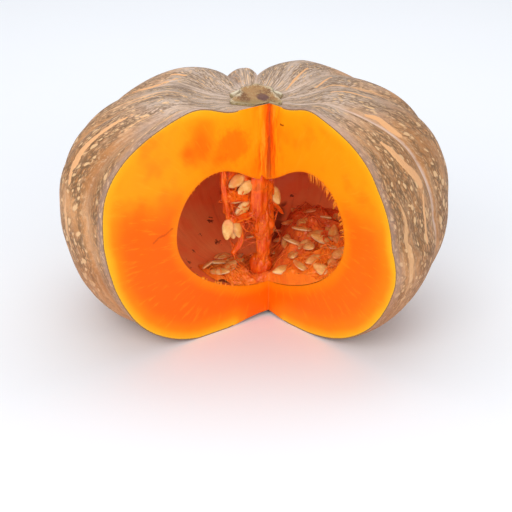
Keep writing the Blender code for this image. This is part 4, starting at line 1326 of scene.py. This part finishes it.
def bowlReach(height):
    # the hollow's radius at a height below its widest level
    drop = np.clip((hollowForm["level"] - height) / (hollowForm["down"] - bedForm["clearance"]), 0.0, 0.999)
    return (hollowForm["radius"] - bedForm["clearance"]) * np.sqrt(1.0 - drop**2) ** hollowForm["roundDown"]


def bedSurface(bedTurns):
    # Looks out from the apex line along each turn until the bare floor of the hollow comes
    # through, and spreads the rows of the bed's top up to there. Also gives how far that is.
    f, radius = bedForm, hollowForm["radius"]
    offset = apex - hollowForm["centre"]
    along = offset[0] * np.cos(bedTurns) + offset[1] * np.sin(bedTurns)
    wallReach = np.sqrt((radius - 0.001) ** 2 - offset @ offset + along**2) - along
    tries = np.linspace(0.0, 1.0, 400)[:, None]
    tryX = apex[0] + tries * wallReach * np.cos(bedTurns)
    tryY = apex[1] + tries * wallReach * np.sin(bedTurns)
    buried = bedHeight(tryX, tryY) < floorHeight(tryX, tryY)
    buried[-1] = True
    reach = wallReach * tries[np.argmax(buried, axis=0), 0]
    reach = np.convolve(np.pad(reach, 2, "edge"), np.full(5, 0.2), "valid")
    share = np.linspace(0.0, 1.0, f["rows"])[:, None] ** 0.7
    x = apex[0] + share * reach * np.cos(bedTurns)
    y = apex[1] + share * reach * np.sin(bedTurns)
    flatPlace = np.stack([x, y, np.zeros_like(x)], axis=-1)
    tangle = sum(np.abs(softNoise(flatPlace, cell)) * -deep for cell, deep in f["folds"])
    tangle = tangle + layeredNoise(flatPlace, (f["grain"],))
    height = bedHeight(x, y) + (tangle + 0.0006) * smoothStep(1.0, 0.9, share)
    return np.stack([x, y, np.maximum(height, floorHeight(x, y) - 0.0006)], axis=-1), reach


def skirt(edge):
    # from the bed's edge on a cut down to the floor of the hollow, keeping to the cut
    floor = edge.copy()
    floor[:, 2] = np.minimum(floorHeight(edge[:, 0], edge[:, 1]), edge[:, 2])
    share = np.linspace(0.0, 1.0, bedForm["skirtRows"])[None, :, None]
    points = edge[:, None] + (floor - edge)[:, None] * share
    return {"points": points, "towards": (0.01, -0.3, 0.05), "marks": {"pulpTrack": points}}


bedTurns = np.linspace(rightCut, leftCut, bedForm["columns"])
bedTop, bedReach = bedSurface(bedTurns)
bedFinish = makePulpFinish("bedPulp", {**pulpTones, "bright": "FC7C2C", "dull": "E05E28"}, 0.6, True)
makePiece("pulpBed", [
    {"points": bedTop, "towards": (0.0, 0.0, 1.0), "marks": {"pulpTrack": bedTop[..., [0, 2, 1]]}},
    skirt(bedTop[:, 0]), skirt(bedTop[:, -1]),
], bedFinish, ["pulp_bed"])

bedSeeds = np.array([  # x, y, heading and lift in degrees, roll
    (-0.0130, 0.0050, 15, 4, 0.2), (-0.0225, -0.0180, 340, 6, 0.2), (-0.0150, -0.0090, 60, 8, 0.2),
    (0.0356, 0.0160, 172, 5, 0.2), (0.0459, 0.0140, 28, 4, 0.2), (0.0579, 0.0080, 82, 38, 0.2),
    (0.0546, -0.0140, 176, 3, 0.2), (0.0599, -0.0290, 52, 12, 0.2), (0.0560, -0.0330, 70, 10, 0.2),
    (0.0249, 0.0140, 85, 24, 0.2), (0.0379, 0.0040, 221, -5, -0.7), (0.0443, 0.0397, 21, 3, -0.3),
    (0.0372, 0.0528, 293, 11, -0.6), (0.0381, 0.0260, 41, 9, 0.5), (0.0609, 0.0376, 287, -3, 0.4),
    (-0.0246, -0.0041, 207, 9, 0.2), (0.0634, -0.0207, 228, 13, 0.5), (0.0147, 0.0197, 271, 8, -0.3),
    (-0.0101, 0.0137, 262, 12, 0.5), (0.0399, -0.0084, 288, 9, 0.4), (0.0230, 0.0397, 151, -5, 0.6),
    (0.0693, 0.0112, 24, 5, -0.7), (0.0555, 0.0197, 102, 6, 0.2), (0.0427, -0.0244, 216, -4, -0.4),
    (0.0703, -0.0025, 60, 15, 0.2), (0.0343, 0.0444, 143, 11, -0.2), (0.0281, 0.0059, 152, 12, 0.3),
    (-0.0217, 0.0086, 222, 4, -0.1), (0.0485, 0.0005, 161, 16, -0.4), (0.0716, -0.0134, 42, 6, -0.7),
    (0.0470, -0.0367, 133, 12, -0.7), (0.0288, -0.0049, 271, 7, 0.3), (0.0212, -0.0139, 198, -4, -0.5),
    (0.0287, 0.0329, 182, -6, -0.1), (-0.0315, -0.0112, 250, 4, 0.7), (0.0538, 0.0295, 296, 16, -0.3),
    (0.0335, -0.0233, 130, 13, 0.1), (0.0216, 0.0280, 38, -3, -0.2), (0.0614, -0.0076, 57, -5, 0.7),
    (0.0624, 0.0277, 358, 10, -0.7),
])


def lyingSeeds():
    # each on the bed at its heading, tipped by its lift and roll, and sunk deeper behind
    x, y, heading, lift, roll = bedSeeds.T
    heading, lift = np.radians(heading), np.radians(lift)
    aheads = np.stack([np.cos(lift) * np.cos(heading), np.cos(lift) * np.sin(heading), np.sin(lift)], axis=-1)
    facings = np.stack([roll * np.sin(heading), -roll * np.cos(heading), np.ones_like(roll)], axis=-1)
    lying = 0.0009 - 0.0024 * smoothStep(0.008, 0.022, y) * smoothStep(0.0, 0.02, x)
    middles = np.stack([x, y, bedHeight(x, y) + lying], axis=-1)
    return seedShapes(middles - aheads * seedForm["length"] / 2.0, aheads, facings, 22, 24)


def lyingThreads():
    # short curls that follow the bed's surface and stay inside the hollow, behind the cuts
    f = bedForm
    count = f["threads"]
    draw = np.random.default_rng(f["seed"])
    pick = draw.uniform(0.0, 1.0, (count, 2))
    turn = rightCut + 0.06 + pick[:, 0] * (leftCut - rightCut - 0.12)
    far = np.interp(turn, bedTurns, bedReach) * (0.12 + 0.80 * np.sqrt(pick[:, 1]))
    middle = np.stack([apex[0] + far * np.cos(turn), apex[1] + far * np.sin(turn)], axis=-1)
    heading = draw.uniform(0.0, 2.0 * np.pi, count)
    size = draw.uniform(0.003, 0.008, count)
    step = np.linspace(-1.0, 1.0, 9)
    bend = draw.uniform(-0.9, 0.9, count)
    curl = heading[:, None] + bend[:, None] * step
    x = middle[:, :1] + size[:, None] * step * np.cos(curl)
    y = middle[:, 1:] + size[:, None] * step * np.sin(curl)
    lifted = draw.uniform(0.0, 0.0030, (count, 1)) * (1.0 - step**2) + 0.0003
    z = bedHeight(x, y) + lifted
    fromMiddle = np.hypot(x - hollowForm["centre"][0], y - hollowForm["centre"][1])
    inside = (behindCuts(x, y) > 0.0008) & (fromMiddle < bowlReach(z) - 0.001)
    onBed = (bedHeight(x, y) > floorHeight(x, y)).all(axis=1)
    kept = inside.all(axis=1) & onBed & (np.hypot(*(middle - apex).T) > 0.008)
    taper = np.sqrt(np.clip(1.02 - step**2, 0.0, 1.0))
    radii = f["threadRadius"] * draw.uniform(0.5, 1.4, (kept.sum(), 1)) * taper
    return tubes(np.stack([x, y, z], axis=-1)[kept], radii, 5, (0.0, 0.1, 1.0))


makePiece("bedSeeds", [lyingSeeds()], makeSeedFinish("bedSeeds", 0.7), ["pulp_bed"])
makePiece("bedThreads", [lyingThreads()], bedFinish, ["pulp_bed"])


# Frayed rim of the hollow

rimForm = {
    "fibres": (  # rim, how many, where they start and end from its foot to its top, how long
        (0, 46, 0.55, 0.88, 1.0),
        (0, 26, 0.30, 0.55, 0.5),
        (-1, 22, 0.10, 0.34, 0.55),
        (-1, 9, 0.72, 0.90, 0.35),
    ),
    "length": (0.0016, 0.0052),
    "width": 0.0006,
    "standOff": 0.0007,  # how far they stand out of the cut face
    "steps": 900,
    "seed": 47,
}


def rimFringe(draw, column, count, lowest, highest, boldness):
    # tapered fibres rooted along one rim, reaching into the hollow in the cut's own plane and
    # drooping by the square of how far along they are
    f = rimForm
    bearing, way = (rightCut, 1.0) if column == 0 else (leftCut, -1.0)
    line = evenly(hollow[len(inner):-len(inner), column], f["steps"])
    place = (np.sort(draw.uniform(lowest, highest, count)) * (f["steps"] - 1)).astype(int)
    spot = line[place]
    ahead = line[np.minimum(place + 6, f["steps"] - 1)] - spot
    ahead = ahead / np.linalg.norm(ahead, axis=-1, keepdims=True)
    intoHollow = np.array([*hollowForm["centre"], 0.078]) - spot
    outOfCut = np.array([-math.sin(bearing), math.cos(bearing), 0.0]) * way
    inPlane = intoHollow - ahead * (intoHollow * ahead).sum(axis=-1, keepdims=True)
    inPlane = inPlane - outOfCut * (inPlane @ outOfCut)[:, None]
    inPlane = inPlane / np.linalg.norm(inPlane, axis=-1, keepdims=True)
    length = draw.uniform(*f["length"], count) * boldness
    droop = np.array([0.0, 0.0, -1.0]) * draw.uniform(0.2, 0.7, (count, 1)) * length[:, None]
    step = np.linspace(-0.25, 1.0, 7)[:, None]
    path = (spot[:, None] + inPlane[:, None] * length[:, None, None] * step
            + droop[:, None] * np.clip(step, 0.0, 1.0) ** 2
            + outOfCut * f["standOff"] * (0.6 + 0.7 * step))
    taper = np.clip(1.02 - step[:, 0], 0.0, 1.0) ** 0.6
    return tubes(path, f["width"] * draw.uniform(0.5, 1.3, (count, 1)) * taper, 6, (0.21, 0.33, 0.92))


def makeFrayFinish():
    f = Finish("frayedFlesh", {"pale": "FF9A1E", "deep": "F07A12"}, Roughness=0.35,
               Specular_IOR_Level=0.35, Subsurface_Weight=0.2, Subsurface_Radius=(1.0, 0.35, 0.05),
               Subsurface_Scale=0.003)
    cloud = f.noise(f.place(), 200.0, 3.0)
    f.feed("Base Color", f.blend(f.mask(cloud, 0.35, 0.65), "pale", "deep"))
    f.feed("Roughness", 0.3 + 0.2 * cloud)
    f.relief(cloud, 0.4, 0.0005)
    return f


rimDraw = np.random.default_rng(rimForm["seed"])
makePiece("rimFibres", [rimFringe(rimDraw, *fringe) for fringe in rimForm["fibres"]],
          makeFrayFinish(), ["pumpkin_body"])


# Room, light and camera

roomForm = {"across": 9.0, "wall": "F7F9FC", "light": 0.62, "paper": {"pale": "F4F6FA", "deep": "F1F4F9"}}
lamps = {  # where each is, what it faces, its width and height, its power and colour
    "keyLamp": ((-0.45, -1.10, 0.85), (0.0, 0.0, 0.08), (0.9, 0.7), 7.0, (1.0, 0.985, 0.96)),
    "fillLamp": ((0.40, -1.05, 0.52), (0.0, 0.0, 0.08), (0.8, 0.5), 3.7, (1.0, 0.99, 0.98)),
    "topLamp": ((0.0, 0.75, 1.30), (0.0, 0.62, 0.0), (1.9, 1.0), 9.5, (1.0, 1.0, 1.0)),
}
cameraForm = {
    "elevation": math.radians(20.7581),
    "distance": 0.9,
    "picture": 512.0,  # its width in pixels, for the two values below
    "focal": 1294.1782,
    "principal": (252.1097, 196.8549),
    "sensor": 36.0,
}


def makeRoom():
    f = Finish("paper", roomForm["paper"], Roughness=0.85, Specular_IOR_Level=0.2)
    f.feed("Base Color", f.blend(f.noise(f.place(), 3.0, 2.0), "pale", "deep"))
    mesh = bpy.data.meshes.new("floor")
    a = roomForm["across"]
    mesh.from_pydata([(-a, -a, 0.0), (a, -a, 0.0), (a, a, 0.0), (-a, a, 0.0)], [], [(0, 1, 2, 3)])
    mesh.materials.append(f.material)
    floor = bpy.data.objects.new("floor", mesh)
    bpy.context.scene.collection.objects.link(floor)
    world = bpy.data.worlds.new("room")
    world.use_nodes = True
    background = world.node_tree.nodes["Background"]
    background.inputs["Color"].default_value = paint(roomForm["wall"])
    background.inputs["Strength"].default_value = roomForm["light"]
    bpy.context.scene.world = world
    bpy.context.scene.view_settings.view_transform = "Standard"


def makeLamp(name, spot, aim, size, power, colour):
    light = bpy.data.lights.new(name, "AREA")
    light.shape = "RECTANGLE"
    light.size, light.size_y = size
    light.energy = power
    light.color = colour
    lamp = bpy.data.objects.new(name, light)
    lamp.location = spot
    lamp.rotation_euler = (Vector(aim) - Vector(spot)).to_track_quat("-Z", "Y").to_euler()
    bpy.context.scene.collection.objects.link(lamp)


def makeCamera():
    # the camera looks at the widest level on the core line, then turns so that this point falls
    # on its place in the picture
    f = cameraForm
    target = Vector((coreLine[0], coreLine[1], rindForm["widest"]))
    e = f["elevation"]
    spot = target + Vector((0.0, -math.cos(e), math.sin(e))) * f["distance"]
    base = Vector((0.0, math.cos(e), -math.sin(e))).to_track_quat("-Z", "Y").to_matrix()
    yaw, pitch = (math.atan((f["picture"] / 2.0 - place) / f["focal"]) for place in f["principal"])
    turned = base @ Matrix.Rotation(-yaw, 3, "Y") @ Matrix.Rotation(-pitch, 3, "X")
    data = bpy.data.cameras.new("camera")
    data.sensor_width = f["sensor"]
    data.lens = f["focal"] / f["picture"] * f["sensor"]
    data.clip_start = 0.01
    camera = bpy.data.objects.new("camera", data)
    camera.matrix_world = Matrix.Translation(spot) @ turned.to_4x4()
    bpy.context.scene.collection.objects.link(camera)
    bpy.context.scene.camera = camera


makeRoom()
for name, settings in lamps.items():
    makeLamp(name, *settings)
makeCamera()
print("camera and light in place")
